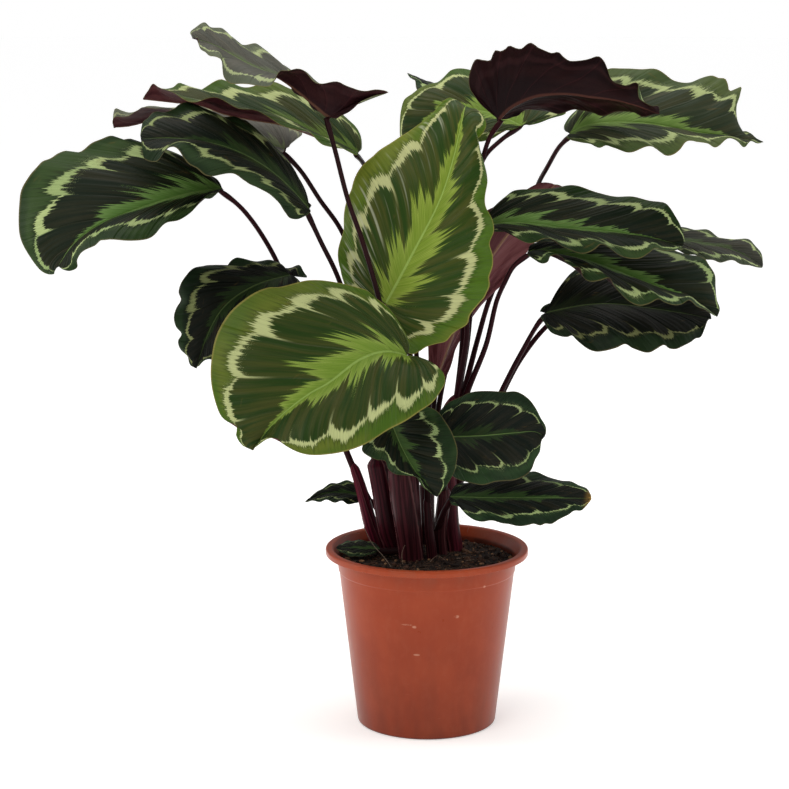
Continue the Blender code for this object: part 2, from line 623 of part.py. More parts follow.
def half_blade(leaf, side, q, t):
    """One half of a blade: q counts the side veins from base to tip, t runs along a vein to the margin."""
    rib_points = [seen(p) for p in leaf["rib"]]
    rib = smooth_curve(rib_points, RIB_SAMPLES)
    margin_points = [rib_points[0]] + [seen(p) for p in leaf[side]] + [rib_points[-1]]
    margin = smooth_curve(margin_points, MARGIN_SAMPLES)
    q = BLADE_ENDS[0] + (BLADE_ENDS[1] - BLADE_ENDS[0]) * q
    foot = (1.0 - np.cos(np.pi * q)) / 2
    start = foot**VEIN_SWEEP
    along = start + (foot - start) * t
    out = at(margin, q) - at(rib, foot)
    ahead = unit(at(unit(np.gradient(rib, axis=0)), foot))
    sign = 1.0 if side == "right" else -1.0
    normal = unit(sign * np.cross(unit(out), ahead))
    width = np.linalg.norm(out, axis=-1, keepdims=True)
    q, t = q[..., None], t[..., None]
    veins = leaf.get("veins", 8)
    phase = leaf["phase"] + (0.5 if side == "left" else 0.0)
    notch = 1.0 - np.abs(np.sin(np.pi * (veins * q + phase)))
    calm_ends = np.sin(np.pi * q) ** 0.5
    bulge = leaf.get("bulge", (0.08, 0.08))[0 if side == "left" else 1]
    lift = bulge * width * 4 * t * (1 - t)
    wave = np.sin(2 * np.pi * (leaf.get("waves", 4.3) * q + 1.7 * phase))
    lift += calm_ends * leaf.get("wave", 2.5) * t**3 * wave
    lift += calm_ends * leaf.get("pleat", 0.7) * t * np.sin(2 * np.pi * (veins * q + phase))
    scallops = 1.0 - 2 * leaf.get("scallop", 0.03) * notch * t**4
    return at(rib, along) + out * t * scallops + normal * lift


def blade_points(leaf, rows, columns):
    """Rows of points from the left margin over the midrib to the right margin, base first, in mm."""
    q, t = np.meshgrid(
        np.linspace(0.0, 1.0, rows + 1), np.linspace(0.0, 1.0, columns // 2 + 1), indexing="ij"
    )
    left = half_blade(leaf, "left", q, t)
    right = half_blade(leaf, "right", q, t)
    return np.concatenate([left[:, ::-1], right[:, 1:]], axis=1)


def remove_all():
    for found in list(bpy.data.objects):
        bpy.data.objects.remove(found, do_unlink=True)


def collection(name):
    made = bpy.data.collections.new(name)
    bpy.context.scene.collection.children.link(made)
    return made


def material(name, colour, roughness):
    made = bpy.data.materials.new(name)
    made.use_nodes = True
    shader = made.node_tree.nodes["Principled BSDF"]
    shader.inputs["Base Color"].default_value = (*colour, 1.0)
    shader.inputs["Roughness"].default_value = roughness
    shader.inputs["Metallic"].default_value = 0.0
    return made


def add_object(name, data, home, look=None):
    made = bpy.data.objects.new(name, data)
    home.objects.link(made)
    if look:
        made.data.materials.append(look)
    return made


def evaluated_mesh(source):
    bpy.context.view_layer.update()
    graph = bpy.context.evaluated_depsgraph_get()
    return bpy.data.meshes.new_from_object(source.evaluated_get(graph), depsgraph=graph)


def smooth_shade(mesh, degrees):
    mesh.shade_smooth()
    mesh.set_sharp_from_angle(angle=math.radians(degrees))


def turned(name, profile, home, look):
    """A profile of (radius, height) points in mm, turned about Z."""
    mesh = bpy.data.meshes.new(name)
    points = [(radius * MM, 0.0, height * MM) for radius, height in profile]
    mesh.from_pydata(points, [(i, i + 1) for i in range(len(points) - 1)], [])
    made = add_object(name, mesh, home, look)
    screw = made.modifiers.new("turn", "SCREW")
    screw.axis = "Z"
    screw.steps = POT_SIDES
    screw.render_steps = POT_SIDES
    screw.use_merge_vertices = True
    screw.merge_threshold = 0.00001
    return made


def wall_radius(height):
    """The pot's outer radius at a height, with a shallow step below the neck."""
    slope = (NECK_RADIUS - BASE_RADIUS) / (POT_HEIGHT - RIM_DROP)
    step = STEP_DEPTH if height > STEP_HEIGHT * POT_HEIGHT else 0.0
    return BASE_RADIUS + slope * height + step - STEP_DEPTH


def pot_profile():
    """The pot's section, from the middle of the inner floor up, over the rolled rim and down the outside."""
    neck = POT_HEIGHT - RIM_DROP
    inner_neck = neck - 4.0
    outer_neck = neck - 3.0
    step = STEP_HEIGHT * POT_HEIGHT
    lip_inner = RIM_RADIUS - LIP_WIDTH
    inside = [(0, FLOOR), (wall_radius(FLOOR) - WALL, FLOOR), (wall_radius(inner_neck) - WALL, inner_neck)]
    lip = [
        (lip_inner, POT_HEIGHT - 1.0),
        (lip_inner + 1.0, POT_HEIGHT),
        (RIM_RADIUS - 1.0, POT_HEIGHT),
        (RIM_RADIUS, POT_HEIGHT - 1.0),
        (RIM_RADIUS, neck),
        (RIM_RADIUS - WALL, neck),
        (RIM_RADIUS - WALL, POT_HEIGHT - WALL),
        (lip_inner + WALL, POT_HEIGHT - WALL - 0.5),
    ]
    outside = [
        (wall_radius(outer_neck), outer_neck),
        (wall_radius(step + 0.5), step + 0.5),
        (wall_radius(step - 0.5), step - 0.5),
        (wall_radius(1.5), 1.5),
        (wall_radius(0) - 1.5, 0),
        (0, 0),
    ]
    return inside + lip + outside


def make_pot(home, cutters):
    look = material("pot_plastic", POT_COLOUR, 0.42)
    pot = turned("pot", pot_profile()[::-1], home, look)
    smooth_shade(pot.data, 35)
    drains = bpy.data.meshes.new("drains")
    radius = DRAIN_RADIUS * MM
    shape = bmesh.new()
    for i in range(DRAINS):
        turn = 2 * math.pi * (i + 0.5) / DRAINS
        hole = bmesh.ops.create_cone(
            shape, cap_ends=True, segments=12, radius1=radius, radius2=radius, depth=4 * FLOOR * MM
        )
        place = (DRAIN_CIRCLE * MM * math.cos(turn), DRAIN_CIRCLE * MM * math.sin(turn), 0.0)
        bmesh.ops.translate(shape, verts=hole["verts"], vec=place)
    shape.to_mesh(drains)
    shape.free()
    cut(pot, drains, cutters)


def cut(target, mesh, cutters):
    cutter = add_object(mesh.name, mesh, cutters)
    cutter.hide_render = True
    cutter.display_type = "WIRE"
    boolean = target.modifiers.new("cut", "BOOLEAN")
    boolean.operation = "DIFFERENCE"
    boolean.solver = "EXACT"
    boolean.object = cutter


def make_soil(home, cutters):
    look = material("soil", SOIL_COLOUR, 0.95)
    inner = WALL + GAP
    profile = [
        (0, SOIL_TOP + 1.0),
        (0.8 * NECK_RADIUS, SOIL_TOP + 0.5),
        (wall_radius(SOIL_TOP - 1.5) - inner, SOIL_TOP - 1.5),
        (wall_radius(FLOOR + GAP) - inner, FLOOR + GAP),
        (0, FLOOR + GAP),
    ]
    soil = turned("soil", profile, home, look)
    holes = bpy.data.meshes.new("shoot_holes")
    shape = bmesh.new()
    for shoot in SHOOTS.values():
        radius = (shoot["radius"] + GAP) / math.cos(math.pi / 16) * MM
        depth = 2 * (ROOT_DEPTH + GAP) * MM
        hole = bmesh.ops.create_cone(
            shape, cap_ends=True, segments=16, radius1=radius, radius2=radius, depth=depth
        )
        x, y = shoot["base"]
        bmesh.ops.translate(shape, verts=hole["verts"], vec=(x * MM, y * MM, SOIL_TOP * MM))
    shape.to_mesh(holes)
    shape.free()
    cut(soil, holes, cutters)


def make_blade(name, leaf, home, look):
    rows, columns = leaf.get("rows", 14), leaf.get("columns", 6)
    shape = bmesh.new()
    bmesh.ops.create_grid(shape, x_segments=columns, y_segments=rows, size=1.0)
    points = blade_points(leaf, rows, columns)
    for vertex in shape.verts:
        row = round((vertex.co.y + 1) / 2 * rows)
        column = round((vertex.co.x + 1) / 2 * columns)
        vertex.co = points[row, column] * MM
    bmesh.ops.triangulate(shape, faces=shape.faces)
    mesh = bpy.data.meshes.new(name)
    shape.to_mesh(mesh)
    shape.free()
    mesh.shade_smooth()
    blade = add_object(name, mesh, home, look)
    thick = blade.modifiers.new("thickness", "SOLIDIFY")
    thick.thickness = BLADE_THICKNESS * MM
    thick.offset = 0.0


def tube(name, points, radii, resolution, home):
    """A round tube in mm along the points, as a closed mesh."""
    curve = bpy.data.curves.new(name, "CURVE")
    curve.dimensions = "3D"
    curve.bevel_depth = MM
    curve.bevel_resolution = resolution
    curve.use_fill_caps = True
    spline = curve.splines.new("POLY")
    spline.points.add(len(points) - 1)
    for knot, place, radius in zip(spline.points, points, radii):
        knot.co = (*(np.array(place) * MM), 1.0)
        knot.radius = radius
    source = add_object(name + "_curve", curve, home)
    mesh = evaluated_mesh(source)
    bpy.data.objects.remove(source, do_unlink=True)
    shape = bmesh.new()
    shape.from_mesh(mesh)
    bmesh.ops.remove_doubles(shape, verts=shape.verts, dist=0.00001)
    bmesh.ops.recalc_face_normals(shape, faces=shape.faces)
    shape.to_mesh(mesh)
    shape.free()
    mesh.name = name
    return add_object(name, mesh, home)


def stalk_end(leaf, before):
    """Where a stalk stops: just under the blade, close to the start of the midrib."""
    points = blade_points(leaf, 14, 6)
    base = points[0, 3]
    ahead = unit(points[2, 3] - base)
    normal = unit(np.cross(points[3, 6] - points[3, 0], ahead))
    arrival = unit(base - before)
    tilt = math.sqrt(max(0.0, 1.0 - float(arrival @ normal) ** 2))
    return base + ahead * 1.5 - normal * (BLADE_THICKNESS / 2 + GAP + STALK_TIP_RADIUS * tilt)


def make_shoot(name, shoot, home, look):
    x, y = shoot["base"]
    root = np.array([x, y, SOIL_TOP - ROOT_DEPTH])
    ground = np.array([x, y, SOIL_TOP + 3.0])
    sheath_way = smooth_curve([ground] + [seen(p) for p in shoot["sheath"]], 7)
    radius = shoot["radius"]
    radii = [radius] + [radius + (shoot["top"] - radius) * i / 6 for i in range(7)]
    sheath = tube(name, [root, *sheath_way], radii, 3, home)
    joined = collection(name + "_stalks")
    for leaf_name, way in shoot["stalks"].items():
        points = [seen(p) for p in way]
        points.append(stalk_end(LEAVES[leaf_name], points[-1]))
        count = min(STALK_POINTS, 2 * len(points))
        stalk_way = smooth_curve(points, count)
        thickness = np.linspace(STALK_RADIUS, STALK_TIP_RADIUS, count)
        tube(leaf_name + "_stalk", stalk_way, thickness, 1, joined)
    union = sheath.modifiers.new("join", "BOOLEAN")
    union.operation = "UNION"
    union.operand_type = "COLLECTION"
    union.collection = joined
    union.solver = "EXACT"
    mesh = evaluated_mesh(sheath)
    bpy.data.objects.remove(sheath, do_unlink=True)
    for part in list(joined.objects):
        bpy.data.objects.remove(part, do_unlink=True)
    bpy.data.collections.remove(joined)
    smooth_shade(mesh, 50)
    mesh.materials.clear()
    add_object(name, mesh, home, look)


def build():
    remove_all()
    home = collection(NAME)
    cutters = collection("cutters")
    make_pot(home, cutters)
    make_soil(home, cutters)
    stalk_look = material("stalk", STALK_COLOUR, 0.4)
    blade_look = material("blade", BLADE_COLOUR, 0.35)
    young_look = material("young_blade", YOUNG_COLOUR, 0.35)
    for number, (name, leaf) in enumerate(LEAVES.items(), 1):
        leaf["phase"] = 0.37 * number
        make_blade(name, leaf, home, young_look if name in YOUNG else blade_look)
    for name, shoot in SHOOTS.items():
        make_shoot(name, shoot, home, stalk_look)


build()
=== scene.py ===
import math
import random
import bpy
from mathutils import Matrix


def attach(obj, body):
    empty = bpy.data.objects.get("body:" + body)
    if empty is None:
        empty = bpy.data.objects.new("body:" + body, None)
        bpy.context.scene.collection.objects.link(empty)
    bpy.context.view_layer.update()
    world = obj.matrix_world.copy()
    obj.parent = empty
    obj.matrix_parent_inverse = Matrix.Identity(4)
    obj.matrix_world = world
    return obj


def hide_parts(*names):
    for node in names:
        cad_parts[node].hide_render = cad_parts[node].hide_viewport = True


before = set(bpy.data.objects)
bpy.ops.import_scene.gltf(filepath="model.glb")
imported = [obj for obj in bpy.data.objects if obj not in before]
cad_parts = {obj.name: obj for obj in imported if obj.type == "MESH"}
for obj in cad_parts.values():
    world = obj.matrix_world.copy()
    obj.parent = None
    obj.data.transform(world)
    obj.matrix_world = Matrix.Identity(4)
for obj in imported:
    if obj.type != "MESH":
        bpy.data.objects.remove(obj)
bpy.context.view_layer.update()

from types import SimpleNamespace

import bmesh
import bpy
import numpy as np
from mathutils import Vector

MM = 0.001
BODY = "root"

# The front view that the plant's points are read on, as (across, down, depth in mm)
VIEW_PLACE = np.array([0.0, -2208.0, 744.4])
VIEW_TILT = math.radians(10.26)
VIEW_TURN = math.radians(-0.87)
VIEW_ZOOM = 2191.7
VIEW_CENTRE = 394.5
VIEW_SIZE = 789
SENSOR = 36.0

# Pot, in mm; the step's height is a fraction of the pot's
POT_HEIGHT = 185.0
BASE_RADIUS = 73.0
NECK_RADIUS = 93.5
RIM_RADIUS = 105.0
RIM_DROP = 6.5
LIP_WIDTH = 7.5
STEP_HEIGHT = 0.87
STEP_DEPTH = 0.7
STEP_SLOPE = 0.6
WALL = 1.6
WALL_SLOPE = (NECK_RADIUS - BASE_RADIUS) / (POT_HEIGHT - RIM_DROP)
FLOOR = 2.2
BOTTOM_RADIUS = 58.0
GROOVE_DEPTH = 1.0
POT_SIDES = 180
DRAINS = 6
DRAIN_CIRCLE = 50.0
DRAIN_RADIUS = 4.0
DRAIN_SIDES = 24
DRAIN_REACH = (-5.0, 0.0, 6.0)

# Soil, in mm, and the seeds of its random draws
SOIL_TOP = 172.0
GAP = 0.4
SOIL_SIDES = 150
SOIL_RINGS = 48
SOIL_ROUGHNESS = 0.45
SOIL_SEED = 7
CRUMBS = 2600
CRUMB_SIZE = 1.15
CRUMB_LIMIT = 3.6
CRUMB_ROOM = 2.0
CRUMB_SEED = 11
FIBRES = 260
FIBRE_JOINTS = 5
FIBRE_POINTS = 12
FIBRE_SIDES = 5
FIBRE_ROOM = 3.0
FIBRE_SEED = 23
ROOT_POINTS = 24
ROOT_SIDES = 8

# Blades, stalks and sheaths, in mm; the blade's ends are fractions of the midrib, and a sheath's foot is
# given by two heights from the soil's top
BLADE_ENDS = (0.03, 0.975)
BLADE_ROWS = 112
BLADE_COLUMNS = 30
BLADE_THICKNESS = 0.6
BLADE_GLOSS = 0.07
YOUNG_GLOSS = 0.1
VEIN_SWEEP = 2.4
VEIN_GROOVE = 0.9
VEIN_ARCH = 0.11
VEIN_RIDGE = 0.25
QUILT = 0.5
RIB_HEIGHT = 1.9
RIB_WIDTH = 2.4
PHASE_STEP = 0.37
STALK_RADIUS = 2.9
STALK_TIP_RADIUS = 2.3
STALK_TAIL_RADII = (1.9, 1.3, 0.6)
STALK_POINTS = 90
STALK_SIDES = 14
STALK_GRID = (14, 6)
SHEATH_POINTS = 60
SHEATH_SIDES = 78
SHEATH_FOOT = (-25.0, 3.0)
LAPS = 3

# How many points a curve is worked out at
CURVE_SAMPLES = 600
RIB_SAMPLES = 241
MARGIN_SAMPLES = 321

# What a leaf has where no row gives it: how many side veins, how the two halves bulge, the waves, pleats and
# scallops of the margin, and the traits of the pattern
USUAL_LEAF = dict(
    veins=8, bulge=(0.08, 0.08), waves=4.3, wave=2.5, pleat=0.7, scallop=0.03,
    youth=0.0, ring=0.0, ring_size=1.0, feather=1.0, tone=0.0, dry=0.0,
)
# UV layers that carry the traits to the materials
TRAIT_LAYERS = {"Traits": ("youth", "ring"), "Marks": ("dry", "ring_size"), "Tints": ("feather", "tone")}

# Blades: the midrib from the stalk to the tip, and the left and right margins as seen from above the leaf
LEAVES = {
    "leaf_01": dict(
        rib=[
            (222, 189, -30), (190, 194, -47), (160, 202, -60), (130, 212, -73), (100, 225, -85),
            (75, 243, -95), (58, 267, -103),
        ],
        left=[
            (219, 191, -38), (210, 198, -55), (202, 202, -68), (192, 210, -83), (180, 218, -98),
            (162, 229, -117), (153, 234, -124), (141, 238, -130), (129, 240.5, -134), (115, 242, -136),
            (106, 242, -136), (100, 240.5, -134), (92, 244, -128), (85, 249.5, -121), (81, 254, -117),
            (78, 261, -114), (78, 268, -112), (70, 271, -110), (61, 268.5, -106),
        ],
        right=[
            (219, 183, -20), (215, 177, -10), (204, 174, 0), (180, 157, 8), (160, 146, 10), (139, 141, 8),
            (131, 139, 6), (120, 142, 3), (112, 138, 1), (100, 140.5, -1), (92, 142.5, -3), (80, 150.5, -8),
            (72, 150.5, -11), (66, 149, -14), (58, 152, -18), (50, 159, -24), (43, 163, -28),
            (38, 169, -33), (30, 177, -39), (21, 189, -46), (18.5, 205, -54), (18.5, 225, -63),
            (21, 238, -69), (30, 256, -80), (40, 270, -90), (49, 274, -97), (56, 272.5, -102),
        ],
        scallop=0.0, wave=3,
    ),
    "leaf_02": dict(
        rib=[(309, 209, -60), (272, 172, -80), (228, 148, -100), (182, 139, -115), (140, 139, -125)],
        left=[
            (310, 212, -68), (307, 215, -73), (303, 217, -78), (298, 219, -83), (291, 217.5, -90),
            (287, 212.5, -94), (281, 207, -100), (274, 201, -106), (267, 192.5, -112), (260, 187.5, -117),
            (251, 183, -124), (246, 180, -128), (234, 176, -135), (224, 175.5, -140), (211, 175, -146),
            (205, 173, -148), (197, 167, -151), (189, 163.5, -153), (184, 159, -154), (178, 152, -155),
            (174, 149.5, -155), (168, 149.5, -155), (163, 153, -155), (159, 158, -155), (155, 160, -153),
            (148, 160, -149), (144, 158, -146), (142.5, 152, -141), (142, 145, -134),
        ],
        right=[
            (312, 207, -55), (308, 202.5, -51), (303, 199.5, -47), (298, 196, -43), (298.5, 189, -38),
            (297.5, 184, -35), (294, 175, -32), (288, 167, -29), (283, 158, -27), (277, 149.5, -25),
            (271, 142, -26), (264, 136.5, -28), (260, 131.5, -29), (250, 128, -31), (245, 123, -33),
            (240, 121, -35), (234, 117, -38), (224, 116.5, -42), (215, 114, -46), (210, 110, -48),
            (205, 107, -50), (190, 104.5, -60), (179, 106, -66), (174, 109, -70), (165, 111, -75),
            (156, 110.5, -84), (152, 112.5, -90), (148, 118, -98), (143, 123, -106), (141, 131.5, -114),
        ],
        scallop=0.0, bulge=(0.1, 0.1),
    ),
    "leaf_03": dict(
        rib=[
            (284, 150, 25), (240, 134, 25), (190, 122, 20), (150, 121, 15), (133, 125, 12), (113, 128, 10),
        ],
        left=[
            (280, 153, 5), (265, 150, -12), (235, 148, -20), (200, 130, -25), (167, 108, -25),
            (155, 107, -22), (143, 107, -18), (138, 112, -12), (130, 116, -6), (114, 117, 4),
        ],
        right=[
            (288, 149, 28), (290, 145, 34), (296, 140, 44), (302, 134, 55), (285, 118, 75), (240, 110, 78),
            (190, 106, 65), (150, 108, 45), (137, 111, 32), (129, 112, 25), (121, 110, 18),
            (115, 108.5, 12),
        ],
        scallop=0.0,
    ),
    "leaf_04": dict(
        rib=[
            (358, 153, -5), (335, 144, -8), (283, 125, -15), (249, 119, -20), (222, 113, -25),
            (200, 105, -30), (172, 102, -35), (142, 99, -42),
        ],
        left=[
            (357, 155, -15), (350, 151, -25), (343, 150, -35), (337, 150, -42), (325, 143, -50),
            (308, 134, -57), (302, 133, -58), (290, 127, -62), (276, 121, -66), (255, 112, -70),
            (241, 107, -72), (229, 102, -74), (210, 100, -75), (194, 99.5, -75), (182, 98, -74),
            (172, 94, -72), (164, 90, -70), (158, 86, -65), (153, 83, -58), (148, 91, -50),
        ],
        right=[
            (362, 148, 5), (361, 138, 15), (356, 129, 22), (350, 121, 28), (345, 115, 33), (335, 108, 38),
            (300, 90, 42), (272, 84, 40), (240, 85, 34), (225, 83, 32), (220, 81, 30), (214, 82, 28),
            (205, 86, 25), (199, 89, 22), (194, 88, 20), (185, 86, 17), (179, 84, 14), (173, 88.5, 9),
            (165, 89, 3), (158, 87, -4), (151, 91, -18),
        ],
        bulge=(0.05, 0.08), scallop=0.0, waves=6,
    ),
    "leaf_05": dict(
        rib=[
            (329, 118, -90), (306, 98, -88), (281, 79, -85), (245, 62, -82), (216, 46, -83), (192, 38, -92),
        ],
        left=[
            (334, 120, -93), (341, 116, -98), (349, 112, -102), (355, 107, -106), (360, 102, -109),
            (366, 99, -112), (374, 96, -115), (388, 93, -120), (377, 89, -123), (366, 90, -125),
            (352, 89, -128), (344, 87, -130), (336, 82, -131), (320, 82, -132), (314, 80, -132),
            (304, 72, -131), (297, 70, -130), (288, 71.5, -128), (280, 71, -126), (276, 77, -124),
            (272, 84, -122), (261, 86, -121), (250, 86, -121), (240, 85, -120), (231, 83, -118),
            (225, 76, -116), (223, 68, -115), (221, 60.5, -113), (214, 58, -112), (209, 57, -110),
            (205, 52, -107), (201, 49, -105), (199, 43, -102), (198, 37, -99), (194, 39, -95),
        ],
        right=[
            (320, 112, -80), (302, 98, -62), (290, 84, -48), (287, 71, -42), (283, 64, -42), (273, 60, -42),
            (268, 54, -44), (261, 50, -45), (255, 43, -46), (240, 43, -50), (230, 38, -53), (223, 27, -56),
            (210, 27.5, -62), (204, 23, -68), (196, 27, -78), (190.5, 32, -86),
        ],
        waves=6, wave=2, scallop=0.0, rows=18,
    ),
    "leaf_06": dict(
        rib=[(290, 275, 0), (250, 288, -25), (220, 312, -45), (196, 369, -60)],
        left=[
            (303, 288, -20), (292, 330, -50), (260, 362, -70), (230, 370, -75), (213, 360, -72),
            (204, 360, -67),
        ],
        right=[
            (300, 277, 6), (308, 277, 10), (303, 272, 13), (299, 267, 15), (291, 268, 15), (283, 266, 14),
            (278, 261, 13), (270, 258, 11), (262, 260, 9), (255, 263, 7), (246, 263, 4), (241, 260, 1),
            (236, 258, -2), (231, 260, -4), (226, 265, -7), (219, 263.5, -10), (209, 264, -14),
            (202, 267, -18), (194, 270, -21), (187, 276, -25), (181, 283, -29), (178, 292, -33),
            (180, 299, -36), (176, 307, -38), (174.5, 317, -42), (177, 327, -45), (182, 334, -48),
            (178, 341, -51), (180, 349, -53), (187, 356, -55), (189, 363, -57), (193, 368, -59),
        ],
        scallop=0.0, wave=4, veins=9,
    ),
    "leaf_07": dict(
        rib=[
            (386, 303, -5), (412, 255, -15), (440, 200, -12), (453, 160, -2), (461, 125, 10),
            (465, 107, 28), (467, 111, 48),
        ],
        left=[
            (365, 312, 5), (345, 285, 12), (338, 255, 16), (342, 228, 17), (348, 196, 14), (361, 166, 12),
            (375, 153, 13), (390, 144, 15), (400, 137, 17), (411, 130, 20), (421, 122, 20), (432, 112, 22),
            (444, 101, 27), (450, 98.5, 32), (457, 102, 40),
        ],
        right=[
            (400, 342, -10), (408, 353, -13), (413, 355, -14), (420, 352.5, -16), (427, 347, -18),
            (437, 343.5, -19), (446, 341.5, -19), (453, 334.5, -18), (462, 329.5, -17), (468, 324, -16),
            (470, 315, -15), (479, 304, -14), (486, 297, -12), (490, 286, -11), (489, 277, -10),
            (493, 266, -10), (493.5, 255, -9), (490.5, 244, -8), (494, 231, -7), (492, 219, -6),
            (485.5, 207, -4), (485, 195, -3), (487.5, 180, -1), (486, 165, 1), (480, 151, 4), (476, 141, 8),
            (482, 134, 12), (486, 126, 17), (484, 118, 23), (477, 110, 34),
        ],
        bulge=(0.06, 0.1), wave=1.5, scallop=0.01,
    ),
    "leaf_08": dict(
        rib=[
            (407, 356, -70), (385, 352, -84), (360, 360, -99), (329, 383, -118), (308, 395, -129),
            (277, 420, -141), (252, 451, -150),
        ],
        left=[
            (416, 361, -74), (424, 362, -77), (430, 368, -80), (437, 371, -83), (443, 372, -86),
            (445.5, 381, -93), (440, 392, -104), (431, 404, -116), (414, 415.5, -127), (390, 429, -140),
            (362, 446, -150), (340, 452, -156), (315, 455.5, -163), (300, 453, -165), (286, 446, -163),
            (276, 438, -160), (268, 438, -158), (259, 445, -154),
        ],
        right=[
            (409, 344, -62), (401, 326, -58), (390, 309, -56), (376.5, 298, -57), (367, 290, -60),
            (355, 287, -63), (340, 284, -67), (320, 280, -73), (307, 280, -77), (295, 283, -81),
            (279, 287, -86), (269, 287.5, -89), (259, 291, -92), (244, 300, -98), (229, 313, -105),
            (217, 334, -114), (212, 355, -121), (211, 379, -129), (215, 401, -136), (221, 416, -140),
            (228, 422, -143), (235, 424.5, -145), (237, 429, -146), (236, 435, -147), (242, 445, -149),
        ],
        bulge=(0.1, 0.06), wave=1.5, scallop=0.0,
    ),
    "leaf_09": dict(
        rib=[(521, 126, 70), (485, 112, 80), (440, 112, 80), (405, 145, 65)],
        left=[(505, 132, 55), (480, 142, 45), (450, 150, 40), (420, 157, 46)],
        right=[
            (545, 121, 85), (566, 113, 100), (540, 92, 130), (500, 78, 140), (470, 70, 138), (453, 72, 134),
            (445, 77, 130), (437, 81, 126), (430, 82, 122), (420, 87, 116), (412, 94, 109), (405, 100, 103),
            (402, 110, 97), (399.5, 125, 86), (400, 137, 76),
        ],
        scallop=0.0,
    ),
    "leaf_10": dict(
        rib=[
            (499, 120, -3), (511, 108, -10), (535, 97, -18), (565, 94, -28), (590, 97, -33),
            (620, 101, -38), (660, 114, -43),
        ],
        left=[
            (507, 119, 12), (515, 115, 22), (525, 112, 32), (540, 111, 30), (580, 112, 24), (600, 113, 14),
            (630, 113, 0), (648, 115, -18),
        ],
        right=[
            (487, 110, -16), (480, 103, -25), (474, 95, -33), (470, 89, -38), (469, 80, -43),
            (471, 70, -48), (476, 60, -52), (483, 60, -54), (490, 59, -55), (493, 52, -57), (496, 48, -57),
            (500, 50, -57), (505, 49, -58), (509, 46, -58), (515, 49, -58), (521, 50, -59), (526, 46, -60),
            (530, 44, -60), (534, 46, -60), (538, 49, -61), (545, 51, -62), (552, 52, -62), (559, 50, -63),
            (564, 55, -63), (570, 60, -64), (580, 61, -65), (588, 60, -65), (598, 57.5, -66),
            (603, 62, -66), (607, 70, -66), (612, 79, -66), (620, 82, -66), (628, 84, -65), (634, 82, -63),
            (638, 83, -62), (638, 92, -60), (639, 99, -58), (645, 104, -55), (652, 107, -51),
            (658, 106, -47),
        ],
        scallop=0.0, veins=9,
    ),
    "leaf_11": dict(
        rib=[
            (570, 134, 20), (590, 125, 18), (640, 123, 15), (700, 133, 15), (735, 138, 17), (764, 142, 20),
        ],
        left=[
            (564, 128, 35), (569, 120, 42), (578, 108, 48), (590, 90, 55), (600, 78, 58), (608, 70, 60),
            (620, 68, 60), (632, 67, 60), (645, 69, 61), (655, 71, 62), (665, 76, 62), (672, 79, 62),
            (680, 80, 61), (692, 81, 60), (700, 79, 60), (712, 77, 58), (718, 79, 57), (725, 79, 54),
            (728, 84, 51), (730, 90, 48), (736, 88, 46), (742, 86, 44), (741, 91, 42), (739, 98, 40),
            (736, 106, 38), (736, 123, 34), (738, 131, 30), (746, 130, 28), (747, 135, 26), (751, 139, 23),
        ],
        right=[
            (567, 138, 12), (572, 141, 8), (580, 142, 2), (590, 143, -3), (600, 148, -10), (606, 147, -13),
            (612, 149, -16), (625, 150, -19), (651, 149, -24), (658, 151, -25), (666, 154, -26),
            (673, 153, -25), (680, 149, -23), (686, 143, -21), (697, 144, -18), (709, 141, -14),
            (717, 146, -11), (728, 141, -6), (738, 141, -1), (745, 146, 5), (750, 141, 8), (757, 144, 14),
        ],
        scallop=0.0, wave=3, waves=5.5,
    ),
    "leaf_12": dict(
        rib=[
            (480, 226, 45), (505, 223, 37), (535, 224, 27), (562, 228, 17), (601, 231, 3), (640, 236, -10),
            (684, 246, -22),
        ],
        left=[
            (487, 217, 51), (492, 210, 55), (497, 204, 59), (502, 200, 62), (508, 196, 64), (514, 192, 65),
            (522, 190, 65), (533, 189, 63), (549, 187, 60), (570, 187, 56), (582, 188, 53), (599, 192, 46),
            (628, 198, 32), (649, 200, 20), (660, 201, 14), (666, 203, 9), (671, 209, 3), (675.5, 217, -3),
            (679.5, 224, -9), (684, 236, -16),
        ],
        right=[
            (487, 230, 35), (497, 232, 25), (510, 234, 12), (518, 239, 2), (529, 241, -7), (545, 240, -17),
            (553, 242, -22), (562, 247, -28), (572, 250, -33), (582, 251, -38), (595, 249, -43),
            (601, 246.5, -45), (611, 251, -49), (620, 255.5, -52), (630, 257.5, -55), (640, 256.5, -56),
            (649, 252, -55), (655, 249, -52), (661, 252, -49), (670, 251, -42), (678, 249, -34),
        ],
        scallop=0.0,
    ),
    "leaf_13": dict(
        rib=[
            (528, 252, 15), (556, 254, 10), (586, 260, 5), (609, 268, -2), (640, 280, -12), (663, 289, -18),
            (690, 300, -22), (718, 317, -25),
        ],
        left=[
            (530, 246, 23), (537, 243, 28), (547, 241, 33), (560, 240, 38), (610, 240, 48), (660, 246, 38),
            (688, 253.5, 25), (703, 259.5, 16), (707.5, 265, 12), (715, 274, 4), (716, 286.5, -4),
            (717, 300, -13), (719.5, 309, -20),
        ],
        right=[
            (528, 256, 8), (531, 258, 3), (541, 262, -8), (548, 260, -14), (550, 256, -17), (555, 255, -21),
            (562, 258.5, -26), (567, 265, -30), (573, 268.5, -33), (580, 268, -36), (584, 275, -39),
            (591, 279, -43), (601, 280.5, -47), (609, 280, -50), (613, 286.5, -53), (620, 294, -56),
            (628, 300, -58), (640, 303, -60), (650, 302.5, -60), (658, 300.5, -59), (663, 304, -60),
            (673, 306, -60), (682, 304, -57), (690, 299, -53), (698, 305, -49), (704, 309, -45),
            (709, 314, -39),
        ],
        scallop=0.0,
    ),
    "leaf_14": dict(
        rib=[(436, 383, 45), (462, 315, 60), (500, 245, 76), (556, 184, 90)],
        left=[
